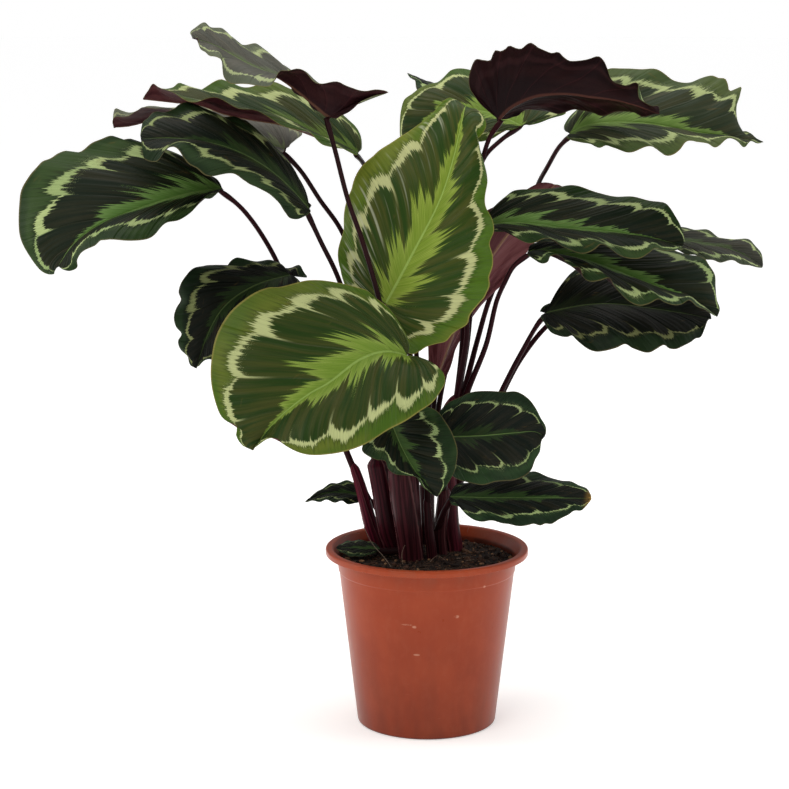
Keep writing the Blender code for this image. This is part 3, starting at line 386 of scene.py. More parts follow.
            (447, 375, 55), (466, 327, 75), (490, 296, 88), (524, 258, 102), (548, 222, 110),
            (566, 192, 105),
        ],
        right=[
            (428, 365, 55), (432, 318, 80), (455, 262, 98), (482, 217, 112), (508, 198, 115),
            (540, 184, 108),
        ],
    ),
    "leaf_15": dict(
        rib=[(655, 236, 68), (700, 243, 63), (735, 251, 58), (763, 267, 53)],
        left=[
            (660, 226, 78), (680, 227, 86), (690, 228, 88), (703, 230, 87), (711, 233, 86), (721, 237, 83),
            (734, 240, 79), (744, 239.5, 77), (750, 240, 74), (755, 244, 70), (759, 250, 66),
            (762, 257, 60),
        ],
        right=[
            (665, 246, 58), (690, 254, 43), (702, 259, 38), (714, 259.5, 34), (721, 262, 33),
            (736, 261.5, 34), (746, 264.5, 36), (754, 267, 41), (760, 268, 47),
        ],
        veins=7, wave=1.5, scallop=0.0,
    ),
    "leaf_16": dict(
        rib=[(546, 313, 55), (600, 304, 45), (655, 309, 35), (712, 319, 30)],
        left=[
            (540, 312, 58), (543, 307, 61), (549, 304.5, 64), (554, 303.5, 67), (557, 296, 71),
            (560, 288, 76), (564, 281, 81), (572, 273, 85), (590, 265, 90), (640, 268, 85), (690, 290, 65),
            (703, 302, 52), (708, 310, 42),
        ],
        right=[
            (541, 317, 50), (545, 324, 42), (550, 331, 34), (558.5, 335, 24), (568, 337, 15),
            (572, 336.5, 12), (578, 342.5, 7), (586, 347.5, 3), (595, 350, 1), (605, 350, -1),
            (616.5, 348, -4), (625, 345.5, -6), (632, 349.5, -8), (642, 351, -10), (650, 350.5, -10),
            (657, 347.5, -10), (664, 345, -9), (669, 349, -8), (675.5, 350, -7), (682, 347.5, -4),
            (690, 342.5, 1), (696, 337, 6), (701, 336, 9), (704.5, 329, 14), (707.5, 321, 21),
        ],
        scallop=0.0,
    ),
    "leaf_17": dict(
        rib=[(440, 437, -25), (480, 436, -45), (515, 433, -60), (535, 432, -67), (545, 437, -71)],
        left=[
            (437, 418, -22), (447, 404, -18), (461, 396, -15), (479, 391.5, -15), (497, 391, -18),
            (516, 392.5, -25), (528, 398, -33), (535, 407, -43), (541, 419, -54), (546, 428, -64),
        ],
        right=[
            (438, 455, -40), (446, 470, -53), (459, 480, -68), (478, 484, -80), (500, 482, -88),
            (520, 478, -92), (531, 470, -92), (535, 461, -90), (540, 451, -84), (541, 441, -77),
        ],
        veins=7, wave=1.5, scallop=0.0,
    ),
    "leaf_18": dict(
        rib=[(392, 424, -60), (402, 448, -78), (416, 472, -90), (437, 497, -98)],
        left=[
            (405, 411, -65), (420, 407, -68), (434, 409, -74), (446, 422, -82), (453, 435, -89),
            (457.5, 452, -95), (456, 466, -99), (450, 480, -101), (443, 490, -101),
        ],
        right=[
            (380, 428, -58), (365, 442, -64), (361.5, 449.5, -68), (368, 456, -73), (377, 460, -77),
            (385, 461, -80), (388, 469, -84), (395, 474, -87), (407, 475.5, -91), (417, 477, -94),
            (422, 486, -96),
        ],
        veins=7, wave=1.5, scallop=0.0,
    ),
    "leaf_19": dict(
        rib=[(450, 497, -35), (495, 498, -55), (545, 498, -70), (592, 499, -80)],
        left=[
            (455, 487, -20), (480, 479, -5), (510, 474, -8), (532, 473, -15), (550, 477, -28),
            (567, 481, -42), (577, 485.5, -53), (586, 487, -62), (590, 493, -72),
        ],
        right=[
            (452, 505, -43), (460, 507, -50), (466, 514, -58), (476, 520.5, -68), (484, 523, -74),
            (494, 520, -81), (505, 523, -88), (519, 527, -94), (528, 526, -98), (534, 523.5, -100),
            (540, 524, -101), (545, 522, -102), (552, 524, -101), (559, 521, -100), (568, 515, -98),
            (574, 510, -96), (581, 510, -94), (586, 506, -89),
        ],
        veins=7, wave=2, scallop=0.0,
    ),
    "leaf_20": dict(
        rib=[(366, 497, 60), (345, 493, 58), (325, 494, 55), (305, 502, 50)],
        left=[(354, 504, 50), (340, 502, 40), (322, 501, 42)],
        right=[(362, 484, 70), (345, 481, 72), (328, 485, 65), (314, 494, 56)],
        veins=5, wave=1, rows=10, columns=4,
    ),
    "leaf_21": dict(
        rib=[(380, 549, 0), (358, 548, 0), (336, 548, 0)],
        left=[(372, 554, -10), (355, 557, -14), (342, 553, -8)],
        right=[(372, 542, 15), (355, 540, 18), (342, 543, 10)],
        veins=5, wave=0.6, pleat=0.3, rows=10, columns=4,
    ),
    "leaf_22": dict(
        rib=[(474, 150, 150), (460, 115, 185), (438, 90, 205), (407, 73, 210)],
        left=[(466, 152, 140), (445, 124, 145), (425, 100, 160), (414, 82, 185)],
        right=[(478, 135, 170), (470, 100, 225), (447, 88, 245), (420, 82, 235)],
    ),
    "leaf_23": dict(
        rib=[(415, 250, 120), (418, 200, 170), (421, 190, 225), (424, 228, 280)],
        left=[(385, 245, 130), (365, 215, 175), (365, 205, 225), (390, 215, 270)],
        right=[(445, 245, 130), (470, 215, 175), (475, 205, 225), (455, 215, 270)],
    ),
    "leaf_24": dict(
        rib=[(372, 402, 110), (335, 350, 150), (290, 340, 195), (248, 375, 235)],
        left=[(352, 398, 108), (315, 400, 130), (270, 405, 180), (250, 395, 215)],
        right=[(378, 380, 125), (365, 325, 180), (310, 300, 225), (262, 320, 250)],
    ),
    "leaf_25": dict(
        rib=[(500, 237, 165), (550, 226, 205), (600, 222, 245), (655, 233, 280)],
        left=[(505, 225, 185), (530, 212, 235), (585, 208, 280), (635, 218, 298)],
        right=[(510, 242, 150), (555, 240, 155), (610, 238, 195), (645, 240, 245)],
    ),
}

# Shoots: a round sheath from its hole in the soil, and the stalk that runs from it to each blade
SHOOTS = {
    "shoot_1": dict(
        base=(-53, 43), radius=9, top=5,
        sheath=[(370, 522, 43), (360, 485, 42), (352, 462, 41)],
        stalks={
            "leaf_01": [
                (368, 500, 43), (352, 465, 42), (325, 395, 40), (298, 320, 34), (277, 262, 24),
                (245, 212, -8),
            ],
            "leaf_20": [(378, 530, 46), (377, 508, 57)],
        },
    ),
    "shoot_2": dict(
        base=(-32, 25), radius=12, top=12,
        sheath=[(390, 530, 25), (383, 490, 25), (377, 455, 25)],
        stalks={
            "leaf_02": [
                (385, 500, 25), (378, 450, 20), (365, 370, 0), (339, 280, -35), (320, 240, -50),
            ],
            "leaf_03": [
                (385, 500, 25), (383, 450, 29), (380, 380, 34), (365, 300, 40), (342, 232, 40),
                (320, 200, 36), (300, 170, 30),
            ],
            "leaf_06": [(384, 500, 25), (372, 450, 25), (350, 390, 17), (318, 320, 8)],
            "leaf_24": [(387, 500, 28), (386, 460, 45), (383, 432, 84)],
        },
    ),
    "shoot_3": dict(
        base=(-16, -2), radius=13, top=16,
        sheath=[(409, 530, -2), (405, 490, -2), (403, 462, -3)],
        stalks={
            "leaf_08": [(405, 500, 0), (406, 450, -15), (412, 390, -45)],
            "leaf_05": [
                (404, 500, -1), (400, 430, -8), (391, 350, -20), (378, 295, -36), (362, 240, -52),
                (348, 200, -65), (335, 150, -82),
            ],
            "leaf_07": [(406, 500, 0), (404, 450, 5), (400, 400, 10), (393, 335, 8)],
            "leaf_21": [(408, 550, 0), (396, 551, 0)],
        },
    ),
    "shoot_4": dict(
        base=(5, 1), radius=6, top=4,
        sheath=[(429, 530, 1), (427, 495, 1)],
        stalks={
            "leaf_18": [(428, 520, 4), (426, 470, -8), (418, 432, -32), (404, 417, -50)],
        },
    ),
    "shoot_5": dict(
        base=(15, 16), radius=7.5, top=6.5,
        sheath=[(440, 535, 15), (443, 508, 13), (445, 486, 9)],
        stalks={
            "leaf_17": [(439, 525, 14), (444, 490, 8), (445, 460, -4)],
            "leaf_19": [(438, 530, 14), (444, 512, -8)],
        },
    ),
    "shoot_6": dict(
        base=(27, 35), radius=11, top=9,
        sheath=[(450, 530, 35), (448, 490, 34), (447, 445, 33), (455, 395, 33)],
        stalks={
            "leaf_10": [
                (449, 440, 33), (457, 395, 32), (467, 330, 26), (463, 290, 25), (464, 240, 30),
                (470, 200, 24), (482, 160, 16), (490, 137, 8),
            ],
            "leaf_09": [
                (449, 445, 33), (457, 395, 34), (463, 330, 38), (461, 290, 44), (466, 240, 58),
                (474, 190, 44), (484, 158, 38), (500, 141, 52),
            ],
            "leaf_12": [
                (449, 445, 33), (459, 390, 35), (467, 345, 40), (470, 317, 43), (473, 285, 47),
                (477, 250, 50),
            ],
            "leaf_13": [
                (450, 445, 33), (468, 390, 33), (486, 345, 32), (497, 300, 28), (505, 282, 22),
                (514, 266, 18),
            ],
            "leaf_11": [
                (449, 450, 33), (465, 388, 40), (478, 338, 76), (490, 298, 112), (506, 262, 126),
                (524, 225, 140), (537, 187, 124), (548, 166, 84), (560, 146, 45),
            ],
            "leaf_16": [
                (449, 510, 35), (462, 475, 38), (483, 432, 42), (502, 390, 45), (520, 355, 49),
                (541, 320, 54),
            ],
            "leaf_15": [
                (449, 505, 36), (466, 470, 42), (486, 432, 47), (503, 392, 53), (522, 357, 62),
                (548, 325, 80), (575, 307, 100), (612, 280, 112), (640, 252, 92),
            ],
        },
    ),
    "shoot_7": dict(
        base=(0, 60), radius=10, top=8,
        sheath=[(427, 530, 60), (427, 480, 60)],
        stalks={
            "leaf_04": [
                (427, 500, 60), (421, 430, 58), (408, 340, 55), (395, 260, 52), (381, 200, 46),
                (370, 176, 40), (363, 163, 24),
            ],
            "leaf_14": [(427, 500, 60), (431, 440, 50), (434, 404, 36)],
            "leaf_23": [(426, 500, 61), (420, 420, 78), (415, 320, 102), (414, 275, 118)],
            "leaf_25": [
                (428, 500, 61), (434, 440, 78), (446, 370, 108), (462, 325, 132), (484, 280, 155),
            ],
        },
    ),
    "shoot_8": dict(
        base=(-22, 70), radius=9, top=5,
        sheath=[(407, 525, 71), (410, 480, 73)],
        stalks={
            "leaf_22": [(409, 500, 72), (430, 400, 88), (453, 300, 115), (468, 200, 140)],
        },
    ),
}

# How the leaves differ: youth from near black to bright green, where the ring lies and how broad it is, how
# strong the feather along the midrib is, tone above 0 for a painted pale glare or below 0 for dull markings,
# and dried tips
TRAITS = {
    "leaf_01": dict(youth=0.1, ring=-0.05, ring_size=0.85, feather=0.95),
    "leaf_02": dict(youth=0.05, ring=-0.08, ring_size=0.85, feather=0.15, tone=-0.4),
    "leaf_03": dict(youth=0.45, tone=0.4),
    "leaf_04": dict(youth=0.55, ring=-0.04, feather=0.5),
    "leaf_05": dict(youth=0.25, feather=0.3, tone=0.22),
    "leaf_06": dict(ring=-0.13, feather=0.15, tone=-0.6),
    "leaf_07": dict(youth=1.0, ring_size=0.95),
    "leaf_08": dict(youth=0.75, ring=0.05, ring_size=0.9),
    "leaf_09": dict(youth=0.6),
    "leaf_10": dict(youth=0.1),
    "leaf_11": dict(youth=0.35, tone=0.05),
    "leaf_12": dict(youth=0.1, ring=0.03, ring_size=0.9),
    "leaf_13": dict(youth=0.1, ring=0.05),
    "leaf_14": dict(youth=0.8),
    "leaf_15": dict(youth=0.12, ring=0.03, feather=0.3, tone=0.1),
    "leaf_16": dict(ring_size=0.6, feather=0.05, tone=-0.7),
    "leaf_17": dict(ring_size=0.45, feather=0.15, tone=-0.1),
    "leaf_18": dict(youth=0.05, ring=-0.02, ring_size=0.7, feather=0.4),
    "leaf_19": dict(ring=-0.04, dry=1.0, ring_size=0.6, feather=0.4),
    "leaf_20": dict(ring_size=0.6, feather=0.3, tone=-0.3),
    "leaf_21": dict(ring_size=0.6, feather=0.3, tone=-0.3),
}
# The leaves with the young blade's material
YOUNG = ("leaf_07", "leaf_08")

# How red and how grey-green the skin of each shoot is
TONES = {
    "shoot_1": (1.0, 0.0),
    "shoot_2": (0.35, 0.0),
    "shoot_3": (0.4, 0.15),
    "shoot_4": (0.3, 0.1),
    "shoot_5": (0.5, 0.3),
    "shoot_6": (0.8, 0.1),
    "shoot_7": (0.25, 0.1),
    "shoot_8": (0.3, 0.1),
}

# Pale marks on the front of the pot: across, height, half width and half height in metres
SCUFFS = (
    (-0.020, 0.125, 0.006, 0.0010),
    (-0.012, 0.123, 0.003, 0.0016),
    (0.058, 0.161, 0.0016, 0.0016),
    (0.030, 0.133, 0.003, 0.0020),
    (-0.010, 0.093, 0.004, 0.0012),
)

# Pale roots on the soil and round the shoots, read in the front view, and their radius in mm
ROOTS = (
    ([(364, 527, 10), (372, 543, 5), (384, 557, -20), (392, 568, -40)], 0.32),
    ([(403, 566, -30), (402, 553, -28), (405, 545, -26)], 0.3),
    ([(459, 527, 25), (463, 517, 22), (467, 517, 20), (469, 525, 18), (467, 532, 16)], 0.22),
    ([(345, 537, 10), (352, 533, 15), (360, 534, 20)], 0.2),
    ([(430, 562, -30), (437, 556, -25), (445, 560, -30)], 0.2),
)

# Room: the floor's rings in mm, and each light's place, aim and size in metres with its watts
ROOM_RINGS = (600.0, 2000.0, 8000.0, 40000.0)
ROOM_SIDES = 96
ROOM_DROP = 0.3
ROOM_COLOUR = (0.95, 0.95, 0.95)
ROOM_GLOW = 0.3
WHITE = (1.0, 1.0, 1.0, 1.0)
WORLD_LIGHT = 0.95
WORLD_FRONT = 0.4
WORLD_BACK = 0.3
LIGHTS = (
    ("key", (-1.2, -2.0, 2.4), (0.0, 0.0, 0.4), (1.6, 1.6), 24.0),
    ("side", (-2.3, 0.2, 1.3), (0.0, 0.0, 0.45), (1.0, 2.0), 11.0),
    ("fill", (2.3, -0.4, 1.4), (0.0, 0.0, 0.4), (1.0, 2.0), 8.0),
    ("top", (0.2, 0.5, 2.8), (0.0, 0.0, 0.4), (2.2, 2.2), 24.0),
)
LIGHT_COLOUR = (1.0, 0.95, 0.87)


# Points and curves


def seen(point):
    """The place in mm of a point that is given by where the front view shows it and by its depth."""
    across, down, depth = point
    forward = np.array(
        [
            math.sin(VIEW_TURN) * math.cos(VIEW_TILT),
            math.cos(VIEW_TURN) * math.cos(VIEW_TILT),
            -math.sin(VIEW_TILT),
        ]
    )
    right = np.array([math.cos(VIEW_TURN), -math.sin(VIEW_TURN), 0.0])
    up = np.cross(right, forward)
    ray = forward + right * (across - VIEW_CENTRE) / VIEW_ZOOM + up * (VIEW_CENTRE - down) / VIEW_ZOOM
    return VIEW_PLACE + ray * (depth - VIEW_PLACE[1]) / ray[1]


def unit(vectors):
    """The vectors' directions, with length 1."""
    return vectors / np.maximum(np.linalg.norm(vectors, axis=-1, keepdims=True), 1e-9)


def lengths(way):
    """How far along a way each of its points lies."""
    return np.concatenate([[0.0], np.cumsum(np.linalg.norm(np.diff(way, axis=0), axis=1))])


def at(curve, where, steps=None):
    """Points on a curve at fractions of its length."""
    steps = np.linspace(0.0, 1.0, len(curve)) if steps is None else steps
    return np.stack([np.interp(where, steps, curve[:, i]) for i in range(3)], axis=-1)


def smooth_curve(points, count):
    """Evenly spaced points on a smooth curve through the given ones (a centripetal Catmull-Rom spline)."""
    p = np.array(points, float)
    gaps = np.linalg.norm(np.diff(p, axis=0), axis=1) ** 0.5
    knots = np.concatenate([[0.0], np.cumsum(gaps)])
    slopes = np.diff(p, axis=0) / gaps[:, None]
    bends = np.empty_like(p)
    weights = (gaps[:-1] + gaps[1:])[:, None]
    bends[1:-1] = (slopes[:-1] * gaps[1:, None] + slopes[1:] * gaps[:-1, None]) / weights
    bends[0] = 1.5 * slopes[0] - 0.5 * bends[1]
    bends[-1] = 1.5 * slopes[-1] - 0.5 * bends[-2]
    u = np.linspace(0.0, knots[-1], CURVE_SAMPLES)
    k = np.clip(np.searchsorted(knots, u, side="right") - 1, 0, len(gaps) - 1)
    x = ((u - knots[k]) / gaps[k])[:, None]
    h = gaps[k][:, None]
    fine = (2 * x**3 - 3 * x**2 + 1) * p[k] + (3 * x**2 - 2 * x**3) * p[k + 1]
    fine += (x**3 - 2 * x**2 + x) * h * bends[k] + (x**3 - x**2) * h * bends[k + 1]
    run = lengths(fine)
    return at(fine, np.linspace(0.0, 1.0, count), run / run[-1])


def on_rib(q):
    """Where on the midrib, as a fraction, the rows of a blade lie."""
    return BLADE_ENDS[0] + (BLADE_ENDS[1] - BLADE_ENDS[0]) * q


def relief(leaf, q, t, width, phase, bulge):
    """How far a half blade lies above the plain sheet between its midrib and its margin."""
    calm_ends = np.sin(np.pi * q) ** 0.5
    lift = bulge * width * 4 * t * (1 - t)
    wave = np.sin(2 * np.pi * (leaf["waves"] * q + 1.7 * phase))
    lift += calm_ends * leaf["wave"] * t**3 * wave
    lift += calm_ends * leaf["pleat"] * t * np.sin(2 * np.pi * (leaf["veins"] * q + phase))
    arched = leaf["veins"] * (q + VEIN_ARCH * (1 - t) ** 2) + phase
    groove = (1.0 - np.abs(np.sin(np.pi * arched))) ** 3 * t**0.5 * (1 - t**4)
    lift -= calm_ends * VEIN_GROOVE * groove
    quilt = np.sin(4 * np.pi * arched) * t**0.7 * (1 - t**3)
    return lift + calm_ends * QUILT * quilt


def half_blade(leaf, side, q, t):
    """One half of a blade: q counts its side veins from the base, t runs along a vein to the margin."""
    rib_points = [seen(p) for p in leaf["rib"]]
    side_points = [seen(p) for p in leaf[side]]
    rib = smooth_curve(rib_points, RIB_SAMPLES)
    margin = smooth_curve([rib_points[0], *side_points, rib_points[-1]], MARGIN_SAMPLES)
    q = on_rib(q)
    foot = (1.0 - np.cos(np.pi * q)) / 2
    start = foot**VEIN_SWEEP
    along = start + (foot - start) * t
    out = at(margin, q) - at(rib, foot)
    ahead = unit(at(unit(np.gradient(rib, axis=0)), foot))
    sign, half, bulge = (1.0, 0.0, leaf["bulge"][1]) if side == "right" else (-1.0, 0.5, leaf["bulge"][0])
    normal = unit(sign * np.cross(unit(out), ahead))
    width = np.linalg.norm(out, axis=-1, keepdims=True)
    phase = leaf["phase"] + half
    q, t = q[..., None], t[..., None]
    notch = 1.0 - np.abs(np.sin(np.pi * (leaf["veins"] * q + phase)))
    scallops = 1.0 - 2 * leaf["scallop"] * notch * t**4
    return at(rib, along) + out * t * scallops + normal * relief(leaf, q, t, width, phase, bulge)


# Meshes


def add_mesh(name, points, faces, layers=None, looks=(), face_looks=None, sharp=50):
    """An object of points in mm, with UV pairs by face corner; edges over an angle in degrees are sharp."""
    mesh = bpy.data.meshes.new(name)
    mesh.from_pydata((np.asarray(points) * MM).tolist(), [], [list(map(int, f)) for f in faces])
    for layer, pairs in (layers or {}).items():
        mesh.uv_layers.new(name=layer).data.foreach_set("uv", np.asarray(pairs, np.float32).ravel())
    for look in looks:
        mesh.materials.append(look)
    if face_looks is not None:
        mesh.polygons.foreach_set("material_index", np.asarray(face_looks, np.int32))
    mesh.polygons.foreach_set("use_smooth", np.ones(len(mesh.polygons), bool))
    mesh.update()
    mesh.set_sharp_from_angle(angle=math.radians(sharp))
    made = bpy.data.objects.new(name, mesh)
    bpy.context.scene.collection.objects.link(made)
    return made


def on_body(piece, slot, *nodes):
    """Puts a piece on the plant's one body and hides the nodes that it replaces; the slot is not used."""
    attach(piece, BODY)
    if nodes:
        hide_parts(*nodes)


class Parts:
    """Gathers several surfaces, with a UV pair for every point, into one mesh."""

    def __init__(self):
        self.points, self.faces, self.pairs, self.count = [], [], {}, 0

    def add(self, points, faces, **pairs):
        """Adds a surface; each UV layer has one pair for all of it or one for every point."""
        self.points.append(points)
        self.faces += [[i + self.count for i in face] for face in faces]
        for layer, values in pairs.items():
            values = np.broadcast_to(np.asarray(values, float), (len(points), 2))
            self.pairs.setdefault(layer, []).append(values)
        self.count += len(points)

    def made(self, name, look, sharp=50):
        """The object of all surfaces added."""
        corners = np.concatenate([np.asarray(face) for face in self.faces])
        layers = {layer: np.concatenate(values)[corners] for layer, values in self.pairs.items()}
        return add_mesh(name, np.concatenate(self.points), self.faces, layers, [look], sharp=sharp)


def circles(radii, heights, around):
    """Rings of points about Z, one for each radius and height."""
    turns = 2 * np.pi * np.arange(around) / around
    radii, heights = np.asarray(radii, float)[:, None], np.asarray(heights, float)[:, None]
    x, y = radii * np.cos(turns), radii * np.sin(turns)
    return np.stack([x, y, np.broadcast_to(heights, x.shape)], axis=-1).reshape(-1, 3)


def ring_faces(rings, around, first=0, flip=False):
    """Quads between rings of points, the first of which starts at a given point."""
    faces = []
    for low in range(first, first + (rings - 1) * around, around):
        for i in range(around):
            j = (i + 1) % around
            a, b, c, d = low + i, low + j, low + around + j, low + around + i
            faces.append((a, d, c, b) if flip else (a, b, c, d))
    return faces


def fan(centre, first, around, flip=False):
    """Triangles from a centre to a ring of points."""
    sides = [(first + i, first + (i + 1) % around) for i in range(around)]
    return [(centre, b, a) if flip else (centre, a, b) for a, b in sides]


def frames_along(way):
    """Two directions square to a curve at each of its points, without twist."""
    ahead = unit(np.gradient(way, axis=0))
    side = np.cross(ahead[0], (0.0, 1.0, 0.0))
    sides = []
    for direction in ahead:
        side = side - direction * (side @ direction)
        side = side / np.linalg.norm(side)
        sides.append(side)
    sides = np.array(sides)
    return sides, np.cross(ahead, sides)


def tube(way, radii, around, shape=None):
    """Points, faces and (turn, run) pairs of a closed tube; shape scales the radius by (run, turn)."""
    rows = len(way)
    sides, fronts = frames_along(way)
    turns = np.linspace(0.0, 1.0, around, endpoint=False)
    angle = 2 * np.pi * (turns - 0.25)
    radii = np.asarray(radii, float)[:, None] * np.ones(around)
    if shape is not None:
        radii = radii * shape(np.linspace(0, 1, rows)[:, None], turns[None, :])
    ring = sides[:, None] * np.cos(angle)[:, None] + fronts[:, None] * np.sin(angle)[:, None]
    points = (way[:, None] + ring * radii[..., None]).reshape(-1, 3)
    run = lengths(way) * MM
    pairs = np.stack(np.broadcast_arrays(turns[None, :], run[:, None]), axis=-1).reshape(-1, 2)
    ends = [tuple(range(around))[::-1], tuple(range((rows - 1) * around, rows * around))]
    return points, ring_faces(rows, around) + ends, pairs


# Arithmetic in node graphs


class Value:
    """A socket of a node graph. Arithmetic on it adds the nodes that work it out."""

    def __init__(self, tree, socket):
        self.tree, self.socket = tree, socket

    def op(self, operation, *others):
        """What a math operation makes of this value and others."""
        node = self.tree.nodes.new("ShaderNodeMath")
        node.operation = operation
        for slot, given in zip(node.inputs, (self, *others)):
            put(self.tree, slot, given)
        return Value(self.tree, node.outputs[0])

    def __add__(self, other):
        return self.op("ADD", other)

    __radd__ = __add__

    def __sub__(self, other):
        return self.op("SUBTRACT", other)

    def __rsub__(self, other):
        return self.op("MULTIPLY_ADD", -1.0, other)

    def __mul__(self, other):
        return self.op("MULTIPLY", other)

    __rmul__ = __mul__

    def __truediv__(self, other):
        return self.op("DIVIDE", other)

    def __pow__(self, other):
        return self.op("POWER", other)

    def __abs__(self):
        return self.op("ABSOLUTE")

    def rise(self, low, high):
        """0 below low, 1 above high and smooth between them."""
        node = self.tree.nodes.new("ShaderNodeMapRange")
        node.interpolation_type = "SMOOTHSTEP"
        put(self.tree, node.inputs["Value"], self)
        put(self.tree, node.inputs["From Min"], low)
        put(self.tree, node.inputs["From Max"], high)
        return Value(self.tree, node.outputs[0])

    def fall(self, low, high):
        """1 below low, 0 above high and smooth between them."""
        return 1.0 - self.rise(low, high)


def put(tree, slot, given):
    """Links a value to a socket, or sets the socket to a number or colour."""
    if isinstance(given, Value):
        tree.links.new(given.socket, slot)
    else:
        slot.default_value = given


class Look:
    """A material under construction."""

    def __init__(self, name, roughness=0.5, specular=0.5):
        self.material = bpy.data.materials.new(name)
        self.material.use_nodes = True
        self.tree = self.material.node_tree
        self.shader = self.tree.nodes["Principled BSDF"]
        self.shader.inputs["Roughness"].default_value = roughness
        self.shader.inputs["Specular IOR Level"].default_value = specular

    def pair(self, layer):
        """The two values of a UV layer."""
        node = self.tree.nodes.new("ShaderNodeUVMap")
        node.uv_map = layer
        split = self.tree.nodes.new("ShaderNodeSeparateXYZ")
        self.tree.links.new(node.outputs[0], split.inputs[0])
        return Value(self.tree, split.outputs[0]), Value(self.tree, split.outputs[1])

    def place(self):
        """Where a point is on the object, in metres."""
        node = self.tree.nodes.new("ShaderNodeTexCoord")
        split = self.tree.nodes.new("ShaderNodeSeparateXYZ")
        self.tree.links.new(node.outputs["Object"], split.inputs[0])
        return tuple(Value(self.tree, out) for out in split.outputs[:3])

    def vector(self, *parts):
        """A vector of two or three values."""
        node = self.tree.nodes.new("ShaderNodeCombineXYZ")
        for slot, part in zip(node.inputs, parts):
            put(self.tree, slot, part)
        return Value(self.tree, node.outputs[0])

    def noise(self, *parts, scale=1.0, detail=2.0, rough=0.5):
        """Smooth noise around 0.5 at a place given by two or three numbers."""
        node = self.tree.nodes.new("ShaderNodeTexNoise")
        node.noise_dimensions = "2D" if len(parts) == 2 else "3D"
        put(self.tree, node.inputs["Vector"], self.vector(*parts))
        node.inputs["Scale"].default_value = scale
        node.inputs["Detail"].default_value = detail
        node.inputs["Roughness"].default_value = rough
        return Value(self.tree, node.outputs[0])

    def chance(self, *parts):
        """Three numbers from 0 to 1 that stay the same over a cell."""
        node = self.tree.nodes.new("ShaderNodeTexWhiteNoise")
        node.noise_dimensions = "2D"
        put(self.tree, node.inputs["Vector"], self.vector(*parts))
        split = self.tree.nodes.new("ShaderNodeSeparateColor")
        self.tree.links.new(node.outputs["Color"], split.inputs[0])
        return tuple(Value(self.tree, out) for out in split.outputs)

    def mix(self, share, first, second):
        """A colour between two: the first where share is 0, the second where it is 1."""
        node = self.tree.nodes.new("ShaderNodeMix")
        node.data_type = "RGBA"
        put(self.tree, node.inputs[0], share)
        for slot, colour in ((node.inputs[6], first), (node.inputs[7], second)):
            put(self.tree, slot, colour if isinstance(colour, Value) else (*colour, 1.0))
        return Value(self.tree, node.outputs[2])

    def coats(self, colour, *layers):
        """A colour with others laid over it in turn, each given with its share."""
        for share, over in layers:
            colour = self.mix(share, colour, over)
        return colour

    def finish(self, colour, roughness=None, height=None, depth=0.0003, strength=1.0):
        """The material with its colour, roughness and bumps, whose depth is in metres."""
        self.tree.links.new(colour.socket, self.shader.inputs["Base Color"])
        if roughness is not None:
            self.tree.links.new(roughness.socket, self.shader.inputs["Roughness"])
        if height is not None:
            bump = self.tree.nodes.new("ShaderNodeBump")
            bump.inputs["Distance"].default_value = depth
            bump.inputs["Strength"].default_value = strength
            self.tree.links.new(height.socket, bump.inputs["Height"])
            self.tree.links.new(bump.outputs[0], self.shader.inputs["Normal"])
        return self.material


def srgb(red, green, blue):
    """Linear values of a colour given in the 0 to 255 steps of a screen."""
    steps = [c / 255 for c in (red, green, blue)]
    return tuple(c / 12.92 if c <= 0.04045 else ((c + 0.055) / 1.055) ** 2.4 for c in steps)


# Colours; the two of a pair are mixed by a pattern

FIELD_OLD = srgb(13, 22, 17), srgb(30, 31, 23)
FIELD_YOUNG = srgb(40, 64, 18), srgb(70, 76, 30)
FIELD_DULL = srgb(15, 15, 11)
MARGIN_OLD = srgb(23, 40, 23), srgb(41, 63, 36)
MARGIN_YOUNG = srgb(74, 104, 28), srgb(104, 116, 38)
MARGIN_DULL = srgb(20, 26, 17)
FEATHER_OLD = srgb(76, 114, 50), srgb(112, 148, 84)
FEATHER_YOUNG = srgb(110, 136, 40), srgb(154, 170, 76)
RING_OLD = srgb(166, 184, 124), srgb(136, 160, 102)
RING_YOUNG = srgb(186, 190, 134)
RING_DULL = srgb(104, 98, 62)
RIB_OLD = srgb(104, 132, 74)
RIB_YOUNG = srgb(146, 172, 84)
RIB_DULL = srgb(52, 58, 38)
# Painted highlight: pale streaks of sheen on a young leaf's pleats
BLADE_PAINTED_SHEEN = srgb(190, 194, 168)
# Painted reflection: the pale grey glare laid over leaves whose tone is above 0
BLADE_PAINTED_GLARE = srgb(158, 152, 148)
BLADE_RIM = srgb(92, 84, 54), srgb(150, 140, 70)
BLADE_GRAIN = srgb(8, 14, 8)
BLADE_SPOT = srgb(110, 88, 44)
BLADE_BURNT = srgb(120, 80, 30), srgb(196, 160, 84)

UNDER_OLD = srgb(17, 6, 8), srgb(28, 11, 12)
UNDER_YOUNG = srgb(108, 54, 60), srgb(138, 82, 84)
UNDER_GRAIN = srgb(30, 9, 14)
UNDER_RING = srgb(96, 58, 60)
UNDER_VEIN = srgb(96, 50, 54)
UNDER_RIB = srgb(74, 34, 34), srgb(150, 120, 84)
UNDER_RIM = srgb(96, 78, 60)

SKIN_DARK = srgb(11, 5, 6), srgb(27, 10, 12)
SKIN_RED = srgb(58, 14, 26), srgb(98, 30, 46)
SKIN_GREY = srgb(40, 32, 28), srgb(66, 54, 48)
SKIN_STREAK = srgb(96, 48, 50)
# Painted shade in the recess beside each lapped edge of a sheath
SKIN_FOLD_SHADE = srgb(20, 9, 12)
SKIN_LIP = srgb(132, 92, 90)
SKIN_SPOT = srgb(24, 10, 12)

